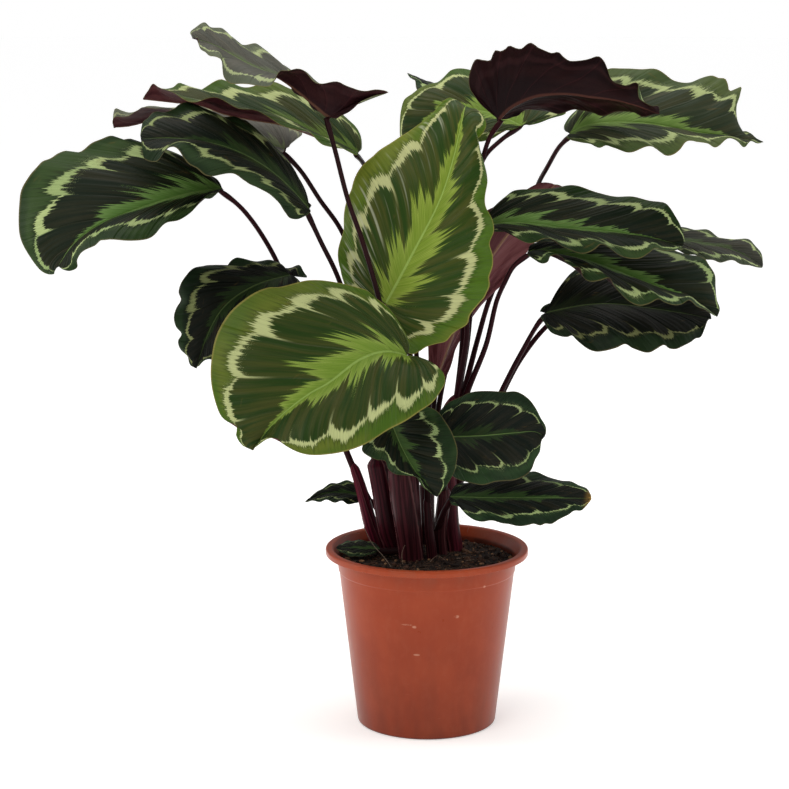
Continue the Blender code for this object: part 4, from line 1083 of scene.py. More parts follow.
POT_BASE = srgb(148, 57, 26), srgb(155, 63, 31)
POT_PALE = srgb(176, 98, 70)
POT_DARK = srgb(134, 60, 38)
POT_SCRATCH = srgb(216, 170, 146)
POT_SCUFF = srgb(214, 160, 134)
POT_DUST = srgb(120, 78, 58)
# Painted shade on the pot's inner wall
POT_INNER_SHADE = srgb(70, 33, 24)

SOIL_MASS = srgb(18, 11, 9), srgb(38, 25, 19)
SOIL_GRAINS = srgb(18, 10, 8), srgb(74, 48, 35)
SOIL_PALE = srgb(156, 118, 84)
SOIL_DARK = srgb(18, 11, 9)
SOIL_SPECK = srgb(76, 54, 40)
FIBRE = srgb(44, 30, 22), srgb(92, 70, 50)
FIBRE_PALE = srgb(140, 122, 104)
FIBRE_SPECK = srgb(70, 48, 34)


# Leaf materials: q runs along the midrib, t from the midrib (0) to the margin (1), part between side veins

SOFT_EDGE = 0.007
RING_PLACE = 0.655


def flames(look, coordinate, seed, low):
    """Pointed tongues side by side along a coordinate, each of its own length from low to 1."""
    part = coordinate.op("FRACT")
    length = look.chance(coordinate.op("FLOOR") * 1.7, seed * 3.3)[0]
    tongue = 1.0 - abs(part * 2.0 - 1.0)
    return (tongue**1.3) * (length * (1.0 - low) + low)


def blade_values(look):
    """The numbers that the pattern of the upper side is worked out from."""
    v = SimpleNamespace()
    v.q, v.signed = look.pair("Blade")
    v.vein, v.seed = look.pair("Cell")
    v.youth, v.shift = look.pair("Traits")
    v.dry, v.ring_size = look.pair("Marks")
    v.feathered, tone = look.pair("Tints")
    # Tone above 0 is a painted glare, a pale reflection painted into the colour; below 0 it dulls the
    # markings
    v.pallor, v.dull = tone.op("MAXIMUM", 0.0), (tone * -1.0).op("MAXIMUM", 0.0)
    v.t, v.part = abs(v.signed), v.vein.op("FRACT")
    whole, nearest = v.vein.op("FLOOR"), v.vein.op("ROUND")
    v.line = abs(v.part - nearest + whole)
    v.ring_chance, v.width_chance, v.reach_chance = look.chance(whole * 3.7, v.seed * 11.3)
    v.streak_start, _, v.streak_chance = look.chance(nearest * 5.1, v.seed * 7.9)
    sway = look.noise(v.vein * 2.0, v.t * 1.6 + v.seed * 7.0, detail=1.0) - 0.5
    v.slow = look.noise(v.vein * 2.3, v.t * 0.7 + v.seed * 13.0, detail=1.0) - 0.5
    v.coarse = flames(look, v.vein * 4.0 + sway * 0.9, v.seed, 0.15)
    v.medium = flames(look, v.vein * 9.0 + sway * 1.6 + 3.3, v.seed + 2.0, 0.2)
    v.fine = flames(look, v.vein * 21.0 + sway * 2.4 + 7.7, v.seed + 4.0, 0.1)
    v.grain = look.noise(v.vein * 34.0, v.t * 1.6 + v.seed, detail=2.0, rough=0.6)
    v.cloud = look.noise(v.q * 2.5 + v.seed * 4.0, v.signed * 2.0, detail=2.0)
    return v


def ring_marks(v):
    """The ring: one outward arc between two side veins, thickest before its tipward end."""
    arch = 1.0 - abs(v.part * 2.0 - 1.0) ** 2.2
    spike = v.part**9.0
    swell = v.part.rise(0.1, 0.62) * (v.part.fall(0.84, 1.0) * 0.5 + 0.5)
    size = (v.q.rise(0.03, 0.2) * 0.8 + 0.2) * v.ring_size
    v.middle = v.shift + RING_PLACE + arch * 0.06 + (v.ring_chance - 0.5) * 0.07
    v.middle = v.middle + v.slow * 0.12 - v.youth * 0.02
    inner = v.middle - spike * size * 0.13 - (v.medium * 0.055 + v.fine * 0.055) * size + 0.02
    v.width = (swell * (v.width_chance * 0.8 + 0.35) * 0.080 + 0.012) * size
    v.outer = v.middle + v.width + (v.medium * 0.035 + v.fine * 0.070) * size
    soft = SOFT_EDGE + v.youth * 0.012
    v.ring = v.t.rise(inner - soft, inner + soft) * v.t.fall(v.outer - soft, v.outer + soft)


def vein_marks(v):
    """Pale streaks on the side veins inside the ring, and fine wisps on both sides of it."""
    streak = v.line.fall(0.008, 0.04) * v.t.rise(v.streak_start * 0.25 + 0.30, 0.64)
    streak = streak * v.t.fall(v.middle, v.middle + 0.02)
    v.streak = streak * v.streak_chance.rise(0.1, 0.5) * 0.85
    wisps = v.fine * v.medium * v.t.rise(v.middle - 0.2, v.middle) * v.t.fall(v.middle, v.middle + 0.14)
    v.wisps = wisps.rise(0.22, 0.5) * (v.youth * 0.5 + 0.18)


def feather_marks(v):
    """The feather: flames between the side veins, ragged along them, fading out before the tip."""
    grow = v.q.rise(0.05, 0.40) * v.q.fall(0.58, 0.93)
    lobe = v.part.rise(0.0, 0.6) * v.part.fall(0.72, 1.0)
    reach = (v.reach_chance * 0.10 + 0.03 + v.coarse * 0.20 + v.medium * 0.16) * (lobe * 0.75 + 0.25)
    reach = (reach + v.fine * 0.07 + 0.03) * (v.youth * 0.4 + 0.95) * grow
    inside = v.t.fall(reach * (1.0 - v.youth * 0.3) - SOFT_EDGE, reach + SOFT_EDGE * 1.5)
    v.feather = inside * v.feathered
    v.pale = (v.t.rise(reach * 0.25, reach) * 0.6 + v.fine * 0.7) * v.feather


def blade_colours(look, v):
    """The colours of the pattern's areas, from an old leaf's to a young one's and towards a dull one's."""

    def aged(old, young, dullness, dull):
        return look.mix(dullness, look.mix(v.youth, old, young), dull)

    stripe = look.noise(v.vein * 3.3 + 7.0, v.t * 0.6 + v.seed * 3.0, detail=3.0, rough=0.6).rise(0.36, 0.68)
    old, young = look.mix(stripe, *FIELD_OLD), look.mix(stripe, *FIELD_YOUNG)
    v.field_colour = aged(old, young, v.dull * 0.7, FIELD_DULL)
    old = look.mix(v.cloud.rise(0.42, 0.62), *MARGIN_OLD)
    young = look.mix(v.cloud.rise(0.4, 0.66), *MARGIN_YOUNG)
    v.margin_colour = aged(old, young, v.dull * 0.7, MARGIN_DULL)
    v.feather_colour = look.mix(v.youth, look.mix(v.pale, *FEATHER_OLD), look.mix(v.pale, *FEATHER_YOUNG))
    v.ring_colour = aged(look.mix(v.ring_chance, *RING_OLD), RING_YOUNG, v.dull, RING_DULL)
    v.rib_colour = aged(RIB_OLD, RIB_YOUNG, v.dull, RIB_DULL)


def patterned(look, v):
    """The field with its margin, ring, feather and marks laid over it."""
    border = v.middle + v.width * 0.4
    dark = v.t.rise(v.outer - 0.01, v.outer + 0.01) * v.t.fall(v.outer, v.outer + 0.05 + v.medium * 0.16)
    return look.coats(
        v.field_colour,
        (v.t.rise(border, border + 0.03), v.margin_colour),
        (dark * 0.6, v.field_colour),
        (v.wisps, v.ring_colour),
        (v.feather, v.feather_colour),
        (v.streak, v.ring_colour),
        (v.ring, v.ring_colour),
    )


def grown(look, v, colour):
    """The pattern with painted sheen streaks, painted pale glare, midrib, rim, grain, spots and a dried tip
    over it.
    """
    # Painted sheen: pale streaks on the youngest leaf's left half stand in for the reflection on its pleats
    painted_sheen = look.noise(v.vein * 6.0, v.t * 0.7 + v.seed * 5.0, detail=2.0, rough=0.6).rise(0.56, 0.74)
    painted_sheen = painted_sheen * v.youth.rise(0.85, 1.0) * v.signed.fall(-0.5, -0.2) * v.t.fall(0.86, 0.95)
    rib = 0.026 - v.q * 0.016
    spots = look.noise(v.q * 9.0 + v.seed * 8.0, v.signed * 7.0, detail=3.0, rough=0.7).rise(0.66, 0.8)
    burnt = v.q.rise(0.94 - v.dry * 0.05, 0.985) * v.dry * look.noise(v.vein * 4.0, v.t * 5.0).rise(0.3, 0.5)
    return look.coats(
        colour,
        (painted_sheen * 0.5, BLADE_PAINTED_SHEEN),
        # Painted glare: a pale grey reflection painted over leaves whose tone is above 0
        (v.pallor * (v.cloud * 0.5 + 0.7), BLADE_PAINTED_GLARE),
        (v.t.fall(rib * 0.5, rib) * 0.9, v.rib_colour),
        (v.t.rise(0.978, 0.993) * 0.75, look.mix(v.youth, *BLADE_RIM)),
        (v.grain.rise(0.25, 0.8) * 0.2, BLADE_GRAIN),
        (spots * 0.22, BLADE_SPOT),
        (burnt, look.mix(v.grain, *BLADE_BURNT)),
    )


def blade_look(name, gloss):
    """The upper side: dark field, feather along the midrib, ragged pale ring and green margin."""
    look = Look(name, roughness=0.34, specular=gloss)
    v = blade_values(look)
    ring_marks(v)
    vein_marks(v)
    feather_marks(v)
    blade_colours(look, v)
    colour = grown(look, v, patterned(look, v))
    wave = (v.vein * (2 * math.pi * 5) + v.slow * 6.0).op("SINE") * 0.5 + 0.5
    height = wave * v.t.rise(0.04, 0.25) * 0.4 + v.grain * 0.4 + v.ring * 0.1
    height = height - v.line.fall(0.0, 0.05) * 0.8 - v.t.fall(0.006, 0.03) * 0.8 + v.cloud * 0.8
    roughness = v.grain * 0.12 + v.cloud * 0.14 + 0.22 - v.youth * 0.05
    return look.finish(colour, roughness, height, depth=0.0008, strength=0.8)


def under_look():
    """The underside: maroon with paler veins."""
    look = Look("blade_under", roughness=0.5, specular=0.07)
    q, signed = look.pair("Blade")
    vein, seed = look.pair("Cell")
    youth, _ = look.pair("Traits")
    t = abs(signed)
    line = abs(vein.op("FRACT") - vein.op("ROUND") + vein.op("FLOOR"))
    grain = look.noise(vein * 30.0, t * 2.0 + seed, detail=2.0, rough=0.6)
    cloud = look.noise(q * 3.0 + seed * 6.0, signed * 2.6, detail=3.0)
    patches = cloud.rise(0.35, 0.65)
    colour = look.coats(
        look.mix(patches, *UNDER_OLD),
        (youth * youth, look.mix(patches, *UNDER_YOUNG)),
        (grain.rise(0.3, 0.8) * 0.3, UNDER_GRAIN),
        (t.rise(0.60, 0.66) * t.fall(0.72, 0.80) * 0.1, UNDER_RING),
        (line.fall(0.01, 0.05) * 0.08, UNDER_VEIN),
        (t.fall(0.018, 0.045) * 0.6, look.mix(youth, *UNDER_RIB)),
        (t.rise(0.965, 0.99) * 0.3, UNDER_RIM),
    )
    height = grain * 0.5 + line.fall(0.0, 0.05) * 0.8 + cloud * 0.5
    return look.finish(colour, grain * 0.15 + cloud * 0.12 + 0.36, height, depth=0.0004, strength=0.6)


# Leaves


def blade_grid(leaf, rows, columns):
    """Points from the left margin over the midrib to the right, with q by row and signed t by column."""
    q = np.linspace(0.0, 1.0, rows + 1)
    t = np.linspace(0.0, 1.0, columns // 2 + 1) ** 1.3
    qs, ts = np.meshgrid(q, t, indexing="ij")
    left = half_blade(leaf, "left", qs, ts)
    right = half_blade(leaf, "right", qs, ts)
    points = np.concatenate([left[:, ::-1], right[:, 1:]], axis=1)
    return points, q, np.concatenate([-t[::-1], t[1:]])


def blade_sides(points, ends, t, turn):
    """Points of the upper and then the lower side, which has the midrib and the ridges of the veins."""
    normal = unit(np.cross(np.gradient(points, axis=1), np.gradient(points, axis=0)))
    middle = len(t) // 2
    away = np.linalg.norm(points - points[:, middle : middle + 1], axis=-1)
    thick = BLADE_THICKNESS * (1.0 - 0.55 * np.abs(t) ** 8)
    rib = RIB_HEIGHT * (1.0 - ends[:, None]) ** 0.7 * np.exp(-((away / RIB_WIDTH) ** 2))
    vein = np.abs(np.sin(np.pi * (turn + np.where(t < 0, 0.5, 0.0))))
    ridge = VEIN_RIDGE * (1.0 - vein) ** 6 * (1.0 - np.abs(t))
    top = points + normal * (thick / 2)[..., None]
    bottom = points - normal * (thick / 2 + rib + ridge)[..., None]
    return np.concatenate([top.reshape(-1, 3), bottom.reshape(-1, 3)])


def blade_faces(rows, columns):
    """Faces of the upper side, the lower side and the four strips between their edges."""
    size = rows * columns
    index = np.arange(size).reshape(rows, columns)

    def quads(*corners):
        return np.stack([corner.ravel() for corner in corners], axis=1)

    upper = quads(index[:-1, :-1], index[:-1, 1:], index[1:, 1:], index[1:, :-1])
    edges = (index[:, 0], index[::-1, -1], index[0, ::-1], index[-1])
    strips = [quads(edge[:-1], edge[1:], edge[1:] + size, edge[:-1] + size) for edge in edges]
    return np.concatenate([upper, upper[:, ::-1] + size, *strips])


def blade_layers(leaf, ends, t, turn, corners):
    """UV pairs for the face corners: place on the blade, place among its veins with a seed, and traits."""
    row, column = corners // len(t), corners % len(t)
    on_left = np.where(column.mean(axis=1, keepdims=True) < len(t) // 2, 0.5, 0.0)
    seed = np.broadcast_to(leaf["number"] * 0.61 + on_left * 1.37, row.shape)
    blade = np.stack([ends[row], t[column]], axis=-1)
    layers = {"Blade": blade, "Cell": np.stack([turn[row, column] + on_left + 20.0, seed], axis=-1)}
    for layer, traits in TRAIT_LAYERS.items():
        layers[layer] = np.broadcast_to([leaf[trait] for trait in traits], blade.shape)
    return layers


def make_leaf(name, leaf, looks):
    """A blade that replaces its node; looks are the materials of its upper and lower side."""
    points, q, t = blade_grid(leaf, BLADE_ROWS, BLADE_COLUMNS)
    ends = on_rib(q)
    turn = leaf["veins"] * (ends[:, None] + VEIN_ARCH * (1.0 - np.abs(t)) ** 2) + leaf["phase"]
    faces = blade_faces(len(q), len(t))
    layers = blade_layers(leaf, ends, t, turn, faces % (len(q) * len(t)))
    count = BLADE_ROWS * BLADE_COLUMNS
    face_looks = np.zeros(len(faces), int)
    face_looks[count : 2 * count] = 1
    sides = blade_sides(points, ends, t, turn)
    made = add_mesh(name.replace("leaf", "blade"), sides, faces, layers, looks, face_looks, sharp=60)
    on_body(made, "young_blade" if name in YOUNG else "blade", name)


# Shoots


def stalk_look():
    """Satin skin with fine streaks; on a sheath the free edge of each leaf base shows as a pale line, with
    painted shade beside it.
    """
    look = Look("stalk_skin", roughness=0.36, specular=0.05)
    turn, run = look.pair("Skin")
    red, grey = look.pair("Tone")
    fold, sheathed = look.pair("Fold")
    x, y, z = look.place()
    around = (turn * (2 * math.pi)).op("SINE")
    streak = look.noise(around * 5.0 + turn * 9.0, run * 9.0, detail=3.0, rough=0.6)
    fine = look.noise(around * 30.0 + turn * 60.0, run * 12.0, detail=2.0)
    spots = look.noise(x, y, z * 0.5, scale=420.0, detail=2.0, rough=0.6)
    broad, part = streak.rise(0.38, 0.62), fold.op("FRACT")
    lip = part.rise(0.90, 0.95) * part.fall(0.975, 0.995) * sheathed
    colour = look.coats(
        look.mix(broad, *SKIN_DARK),
        (red, look.mix(broad, *SKIN_RED)),
        (grey, look.mix(streak.rise(0.35, 0.65), *SKIN_GREY)),
        (fine.rise(0.5, 0.7) * 0.1, SKIN_STREAK),
        # Painted shade: darker skin in the recess just beside each lapped edge
        (part.fall(0.0, 0.12) * sheathed * 0.6, SKIN_FOLD_SHADE),
        (lip * 0.3, SKIN_LIP),
        (spots.rise(0.6, 0.72) * 0.25, SKIN_SPOT),
    )
    height = streak * 0.5 + fine * 0.5
    return look.finish(colour, fine * 0.14 + 0.22, height, depth=0.00025, strength=0.5)


def add_sheath(parts, shoot, tone):
    """The sheath of a shoot: leaf bases that lap over one another round it."""
    x, y = shoot["base"]
    foot = [np.array([x, y, SOIL_TOP + height]) for height in SHEATH_FOOT]
    way = smooth_curve(foot + [seen(p) for p in shoot["sheath"]], SHEATH_POINTS)
    run = np.linspace(0.0, 1.0, len(way))
    radii = shoot["radius"] + (shoot["top"] - shoot["radius"]) * run
    radii = radii * (1.0 + 0.04 * np.sin(run * 7.0 + x)) * np.clip((1.0 - run) * 14.0, 0.02, 1.0) ** 0.5

    def fold(runs, turns):
        return LAPS * turns + 0.4 * runs + 0.13 * x + 3.0

    def lap(runs, turns):
        return 0.95 + 0.09 * (fold(runs, turns) % 1.0) ** 1.5 + 0.02 * np.sin(4 * np.pi * turns + 3 * runs)

    points, faces, pairs = tube(way, radii, SHEATH_SIDES, lap)
    folds = fold(np.repeat(run, SHEATH_SIDES), pairs[:, 0])
    parts.add(points, faces, Skin=pairs, Tone=tone, Fold=np.stack([folds, np.ones_like(folds)], axis=-1))


def stalk_course(leaf, given):
    """The way of a stalk under the base of its blade and on into the midrib, and its radius along it."""
    points, _, _ = blade_grid(leaf, *STALK_GRID)
    rib = points[:, STALK_GRID[1] // 2]
    base = rib[0]
    ahead = unit(rib[2] - base)
    normal = unit(np.cross(points[3, -1] - points[3, 0], ahead))
    route = [seen(p) for p in given]
    arrival = unit(base - route[-1])
    tilt = math.sqrt(max(0.0, 1.0 - float(arrival @ normal) ** 2))
    route.append(base + ahead * 1.5 - normal * (0.8 + STALK_TIP_RADIUS * tilt))
    way = smooth_curve(route, STALK_POINTS)
    length = lengths(way)
    left = length[-1] - length
    size = np.linspace(STALK_RADIUS, STALK_TIP_RADIUS, len(way))
    size = size * (1.0 + 0.45 * np.exp(-length / 60.0)) + 0.55 * np.exp(-(((left - 9.0) / 9.0) ** 2))
    tail = [rib[1 + k] - normal * (1.0 - 0.25 * k) for k in range(len(STALK_TAIL_RADII))]
    return np.concatenate([way, tail]), np.concatenate([size, STALK_TAIL_RADII])


def make_shoot(name, shoot, leaves, look):
    """A sheath with the stalks of its leaves, which replaces its node."""
    parts = Parts()
    red, grey = TONES[name]
    add_sheath(parts, shoot, (red, grey))
    for number, (leaf_name, given) in enumerate(shoot["stalks"].items()):
        way, size = stalk_course(leaves[leaf_name], given)
        points, faces, pairs = tube(way, size, STALK_SIDES)
        skin = pairs + [0.31 * number, 0.2 * number]
        parts.add(points, faces, Skin=skin, Tone=(red * 0.2, grey * 0.3), Fold=(0.5, 0.0))
    on_body(parts.made(name + "_stems", look, sharp=60), "stalk", name)


# Pot


def wall_radius(height):
    """The pot's outer radius at a height, with a shallow step below the neck."""
    step = STEP_DEPTH if height > STEP_HEIGHT * POT_HEIGHT else 0.0
    return BASE_RADIUS + WALL_SLOPE * height + step - STEP_DEPTH


def rounded(corners):
    """A profile of (radius, height) points, with each corner given as (radius, height, rounding)."""
    made = []
    for i, (r, z, size) in enumerate(corners):
        here = np.array([r, z], float)
        if size <= 0 or i in (0, len(corners) - 1):
            made.append(here)
            continue
        before = np.array(corners[i - 1][:2], float) - here
        after = np.array(corners[i + 1][:2], float) - here
        a = here + before / np.linalg.norm(before) * min(size, np.linalg.norm(before) * 0.49)
        b = here + after / np.linalg.norm(after) * min(size, np.linalg.norm(after) * 0.49)
        for s in np.linspace(0.0, 1.0, 6):
            made.append((1 - s) ** 2 * a + 2 * s * (1 - s) * here + s**2 * b)
    return np.array(made)


def turned(profile, around):
    """Points and faces of a profile turned about Z, whose two ends lie on the axis."""
    body = profile[1:-1]
    rings = circles(body[:, 0], body[:, 1], around)
    points = np.concatenate([rings, [[0, 0, profile[0, 1]]], [[0, 0, profile[-1, 1]]]])
    faces = ring_faces(len(body), around) + fan(len(rings), 0, around, flip=True)
    return points, faces + fan(len(rings) + 1, len(rings) - around, around)


def scuffed(x, y, z):
    """How much of a pale mark lies at a place of the pot."""
    marks = []
    for across, height, wide, tall in SCUFFS:
        gap = ((x - across) / wide) ** 2.0 + ((z - height) / tall) ** 2.0
        marks.append(gap.fall(0.3, 1.0) * y.fall(-0.02, 0.0))
    first, *others = marks
    for mark in others:
        first = first.op("MAXIMUM", mark)
    return first


def pot_look():
    """Satin terracotta plastic with scratches and scuffs, dust under the rim and painted shade on the inner
    wall.
    """
    look = Look("pot_plastic_terracotta", roughness=0.42, specular=0.2)
    x, y, z = look.place()
    square = x * x + y * y
    cloud = look.noise(x, y, z, scale=22.0, detail=3.0)
    mottle = look.noise(x, y, z * 0.6, scale=160.0, detail=3.0, rough=0.6)
    rings = look.noise(z * 900.0, square * 400.0, detail=1.0)
    scratches = look.noise(x * 60.0 + y * 60.0, z * 700.0, detail=3.0, rough=0.7).rise(0.72, 0.80)
    dust = look.noise(x, y, z * 0.3, scale=60.0, detail=3.0)
    inwards = square**0.5 - z * WALL_SLOPE - BASE_RADIUS * MM
    # Painted shade: the inner wall is darkened up to the soil's top and fades out towards the rim, varied by
    # the dust noise
    inner_wall_shade = inwards.fall(-0.0013, -0.0006) * z.fall(0.172, 0.184) * (dust.rise(0.35, 0.65) * 0.25 + 0.6)
    colour = look.coats(
        look.mix(cloud.rise(0.35, 0.68), *POT_BASE),
        (mottle.rise(0.45, 0.7) * 0.08, POT_PALE),
        (mottle.fall(0.30, 0.42) * 0.08, POT_DARK),
        (scratches * 0.14, POT_SCRATCH),
        (scuffed(x, y, z) * mottle.rise(0.35, 0.55) * 0.5, POT_SCUFF),
        (z.rise(0.150, 0.176) * dust.rise(0.45, 0.7) * 0.18, POT_DUST),
        (inner_wall_shade, POT_INNER_SHADE),
    )
    height = mottle * 0.35 + rings * 0.2 + cloud * 0.6
    return look.finish(colour, mottle * 0.14 + cloud * 0.1 + 0.2, height, depth=0.0003, strength=0.4)


def pot_profile():
    """The pot from the middle of its bottom up the outside, over the rim and down the inside."""
    neck, step, top = POT_HEIGHT - RIM_DROP, STEP_HEIGHT * POT_HEIGHT, POT_HEIGHT
    below, above = step - STEP_SLOPE, step + STEP_SLOPE
    base, inner = wall_radius(0), RIM_RADIUS - LIP_WIDTH
    bottom = [
        (0, 0, 0),
        (BOTTOM_RADIUS, 0, 0.5),
        (BOTTOM_RADIUS + 2.0, GROOVE_DEPTH, 0.5),
        (base - 6.0, GROOVE_DEPTH, 0.5),
        (base - 4.0, 0, 0.8),
        (base - 0.3, 0, 2.2),
    ]
    outside = [
        (wall_radius(below), below, 0.4),
        (wall_radius(above), above, 0.4),
        (wall_radius(neck - 3), neck - 3, 0.8),
    ]
    rim = [
        (inner + WALL, top - WALL - 0.5, 1.0),
        (RIM_RADIUS - WALL, top - WALL, 1.2),
        (RIM_RADIUS - WALL, neck, 0.5),
        (RIM_RADIUS - 0.2, neck, 0.7),
        (RIM_RADIUS, top, 2.6),
        (inner, top, 2.0),
    ]
    inside = [
        (wall_radius(neck - 4) - WALL, neck - 4, 3.0),
        (wall_radius(above) - WALL, above, 0.4),
        (wall_radius(below) - WALL, below, 0.4),
        (wall_radius(FLOOR) - WALL, FLOOR, 2.0),
        (0, FLOOR, 0),
    ]
    return rounded(bottom + outside + rim + inside)


def cut_drains(pot):
    """Cuts the ring of drain holes through the pot's floor."""
    drains = Parts()
    for i in range(DRAINS):
        turn = 2 * math.pi * (i + 0.5) / DRAINS
        x, y = DRAIN_CIRCLE * math.cos(turn), DRAIN_CIRCLE * math.sin(turn)
        way = np.array([[x, y, z] for z in DRAIN_REACH])
        points, faces, _ = tube(way, [DRAIN_RADIUS] * len(way), DRAIN_SIDES)
        drains.add(points, faces)
    cutter = drains.made("drains", pot.data.materials[0])
    cut = pot.modifiers.new("drains", "BOOLEAN")
    cut.operation, cut.solver, cut.object = "DIFFERENCE", "EXACT", cutter
    whole = bpy.data.meshes.new_from_object(pot.evaluated_get(bpy.context.evaluated_depsgraph_get()))
    pot.modifiers.clear()
    pot.data = whole
    bpy.data.objects.remove(cutter, do_unlink=True)


def make_pot():
    """The pot with its drain holes."""
    points, faces = turned(pot_profile(), POT_SIDES)
    made = add_mesh("pot_body", points, faces, {}, [pot_look()], sharp=40)
    cut_drains(made)
    on_body(made, "pot_plastic", "pot")


# Soil


def soil_look(name, crumbs):
    """Dark coir and peat; loose crumbs differ in tone from one another."""
    look = Look(name, roughness=0.9, specular=0.25)
    x, y, z = look.place()
    lumps = look.noise(x, y, z, scale=90.0, detail=4.0, rough=0.7)
    fine = look.noise(x, y, z, scale=700.0, detail=3.0, rough=0.7)
    if crumbs:
        tone, _ = look.pair("Tone")
        colour = look.coats(
            look.mix(tone.rise(0.1, 0.8), *SOIL_GRAINS),
            (tone.rise(0.82, 1.0), SOIL_PALE),
            (lumps.fall(0.36, 0.5) * 0.6, SOIL_DARK),
        )
    else:
        colour = look.mix(lumps.rise(0.35, 0.65), *SOIL_MASS)
    colour = look.mix(fine.rise(0.45, 0.7) * 0.25, colour, SOIL_SPECK)
    height = lumps * 0.5 + fine * 0.5
    return look.finish(colour, fine * 0.2 + 0.75, height, depth=0.0015, strength=0.9)


def soil_height(x, y):
    """Height in mm of the soil's top, a little lumpy and higher round the shoots."""
    rough = 0.9 * np.sin(x * 0.21 + 1.3 * np.sin(y * 0.17)) * np.cos(y * 0.19 + 0.9 * np.sin(x * 0.11))
    rough += 0.5 * np.sin(x * 0.53 + 2.0) * np.sin(y * 0.61 + 0.7 * x)
    return SOIL_TOP - 0.5 + rough + 1.6 * np.exp(-(x**2 + (y - 30) ** 2) / 1500.0)


def make_soil():
    """The solid soil: a lumpy top and a smooth side down to the pot's floor."""
    edge = wall_radius(SOIL_TOP - 4) - WALL - GAP
    radii = edge * np.linspace(0.02, 1.0, SOIL_RINGS) ** 0.8
    top = circles(radii, np.zeros(SOIL_RINGS), SOIL_SIDES)
    draw = np.random.default_rng(SOIL_SEED)
    worn_edge = 1.2 * (np.repeat(radii, SOIL_SIDES) / edge) ** 10
    top[:, 2] = soil_height(top[:, 0], top[:, 1]) + draw.normal(0.0, SOIL_ROUGHNESS, len(top)) - worn_edge
    bottom = FLOOR + GAP
    side = circles([wall_radius(bottom) - WALL - GAP], [bottom], SOIL_SIDES)
    centres = [[0, 0, top[:SOIL_SIDES, 2].mean()], [0, 0, bottom]]
    faces = ring_faces(SOIL_RINGS + 1, SOIL_SIDES, flip=True)
    crown = len(top) + len(side)
    faces += fan(crown, 0, SOIL_SIDES) + fan(crown + 1, len(top), SOIL_SIDES, flip=True)
    points = np.concatenate([top, side, centres])
    made = add_mesh("soil_bed", points, faces, {}, [soil_look("soil_mass", False)], sharp=70)
    on_body(made, "soil", "soil")


def clear_of_shoots(x, y):
    """Whether a place on the soil lies outside every sheath."""
    return all(math.hypot(x - s["base"][0], y - s["base"][1]) > s["radius"] for s in SHOOTS.values())


def crumb_shape():
    """Points and faces of a ball of radius 1."""
    ball = bmesh.new()
    bmesh.ops.create_icosphere(ball, subdivisions=1, radius=1.0)
    shape = np.array([v.co[:] for v in ball.verts])
    sides = [[v.index for v in f.verts] for f in ball.faces]
    ball.free()
    return shape, sides


def make_crumbs():
    """Loose crumbs strewn over the soil, clear of the shoots."""
    draw = random.Random(CRUMB_SEED)
    shape, sides = crumb_shape()
    parts = Parts()
    edge = wall_radius(SOIL_TOP) - WALL - CRUMB_ROOM
    for _ in range(CRUMBS):
        radius = edge * math.sqrt(draw.random())
        turn = draw.uniform(0, 2 * math.pi)
        x, y = radius * math.cos(turn), radius * math.sin(turn)
        size = min(draw.lognormvariate(0.0, 0.5) * CRUMB_SIZE, CRUMB_LIMIT)
        if not clear_of_shoots(x, y) or radius + size > edge:
            continue
        bumps = np.array([draw.uniform(0.65, 1.25) for _ in shape])[:, None]
        stretch = np.array([draw.uniform(0.7, 1.5), draw.uniform(0.6, 1.2), draw.uniform(0.5, 0.9)])
        spin = draw.uniform(0, 2 * math.pi)
        grain = shape * bumps * stretch * size
        turned_x = grain[:, 0] * math.cos(spin) - grain[:, 1] * math.sin(spin)
        turned_y = grain[:, 0] * math.sin(spin) + grain[:, 1] * math.cos(spin)
        z = float(soil_height(x, y)) + size * draw.uniform(-0.1, 0.5)
        points = np.stack([turned_x + x, turned_y + y, grain[:, 2] + z], axis=-1)
        parts.add(points, sides, Tone=(draw.random(), 0.0))
    on_body(parts.made("soil_crumbs", soil_look("soil_grains", True), sharp=35), "soil")


def fibre_look():
    """Coir fibres and paler roots."""
    look = Look("root_fibre", roughness=0.7, specular=0.3)
    tone, _ = look.pair("Tone")
    x, y, z = look.place()
    fine = look.noise(x, y, z, scale=900.0, detail=2.0)
    colour = look.coats(
        look.mix(tone.rise(0.4, 0.95), *FIBRE),
        (tone.rise(0.97, 1.0), FIBRE_PALE),
        (fine.rise(0.4, 0.7) * 0.4, FIBRE_SPECK),
    )
    return look.finish(colour, fine * 0.3 + 0.5, fine, depth=0.0002)


def fibre_joints(draw, edge):
    """Points of a fibre that wanders over the soil."""
    radius, turn = edge * math.sqrt(draw.random()) * 0.93, draw.uniform(0, 2 * math.pi)
    x, y = radius * math.cos(turn), radius * math.sin(turn)
    heading, step = draw.uniform(0, 2 * math.pi), draw.uniform(6, 20) / (FIBRE_JOINTS - 1)
    points = []
    for _ in range(FIBRE_JOINTS):
        points.append((x, y, float(soil_height(x, y)) + 1.0 + draw.uniform(-0.6, 1.4)))
        heading += draw.uniform(-0.6, 0.6)
        x, y = x + math.cos(heading) * step, y + math.sin(heading) * step
    return points


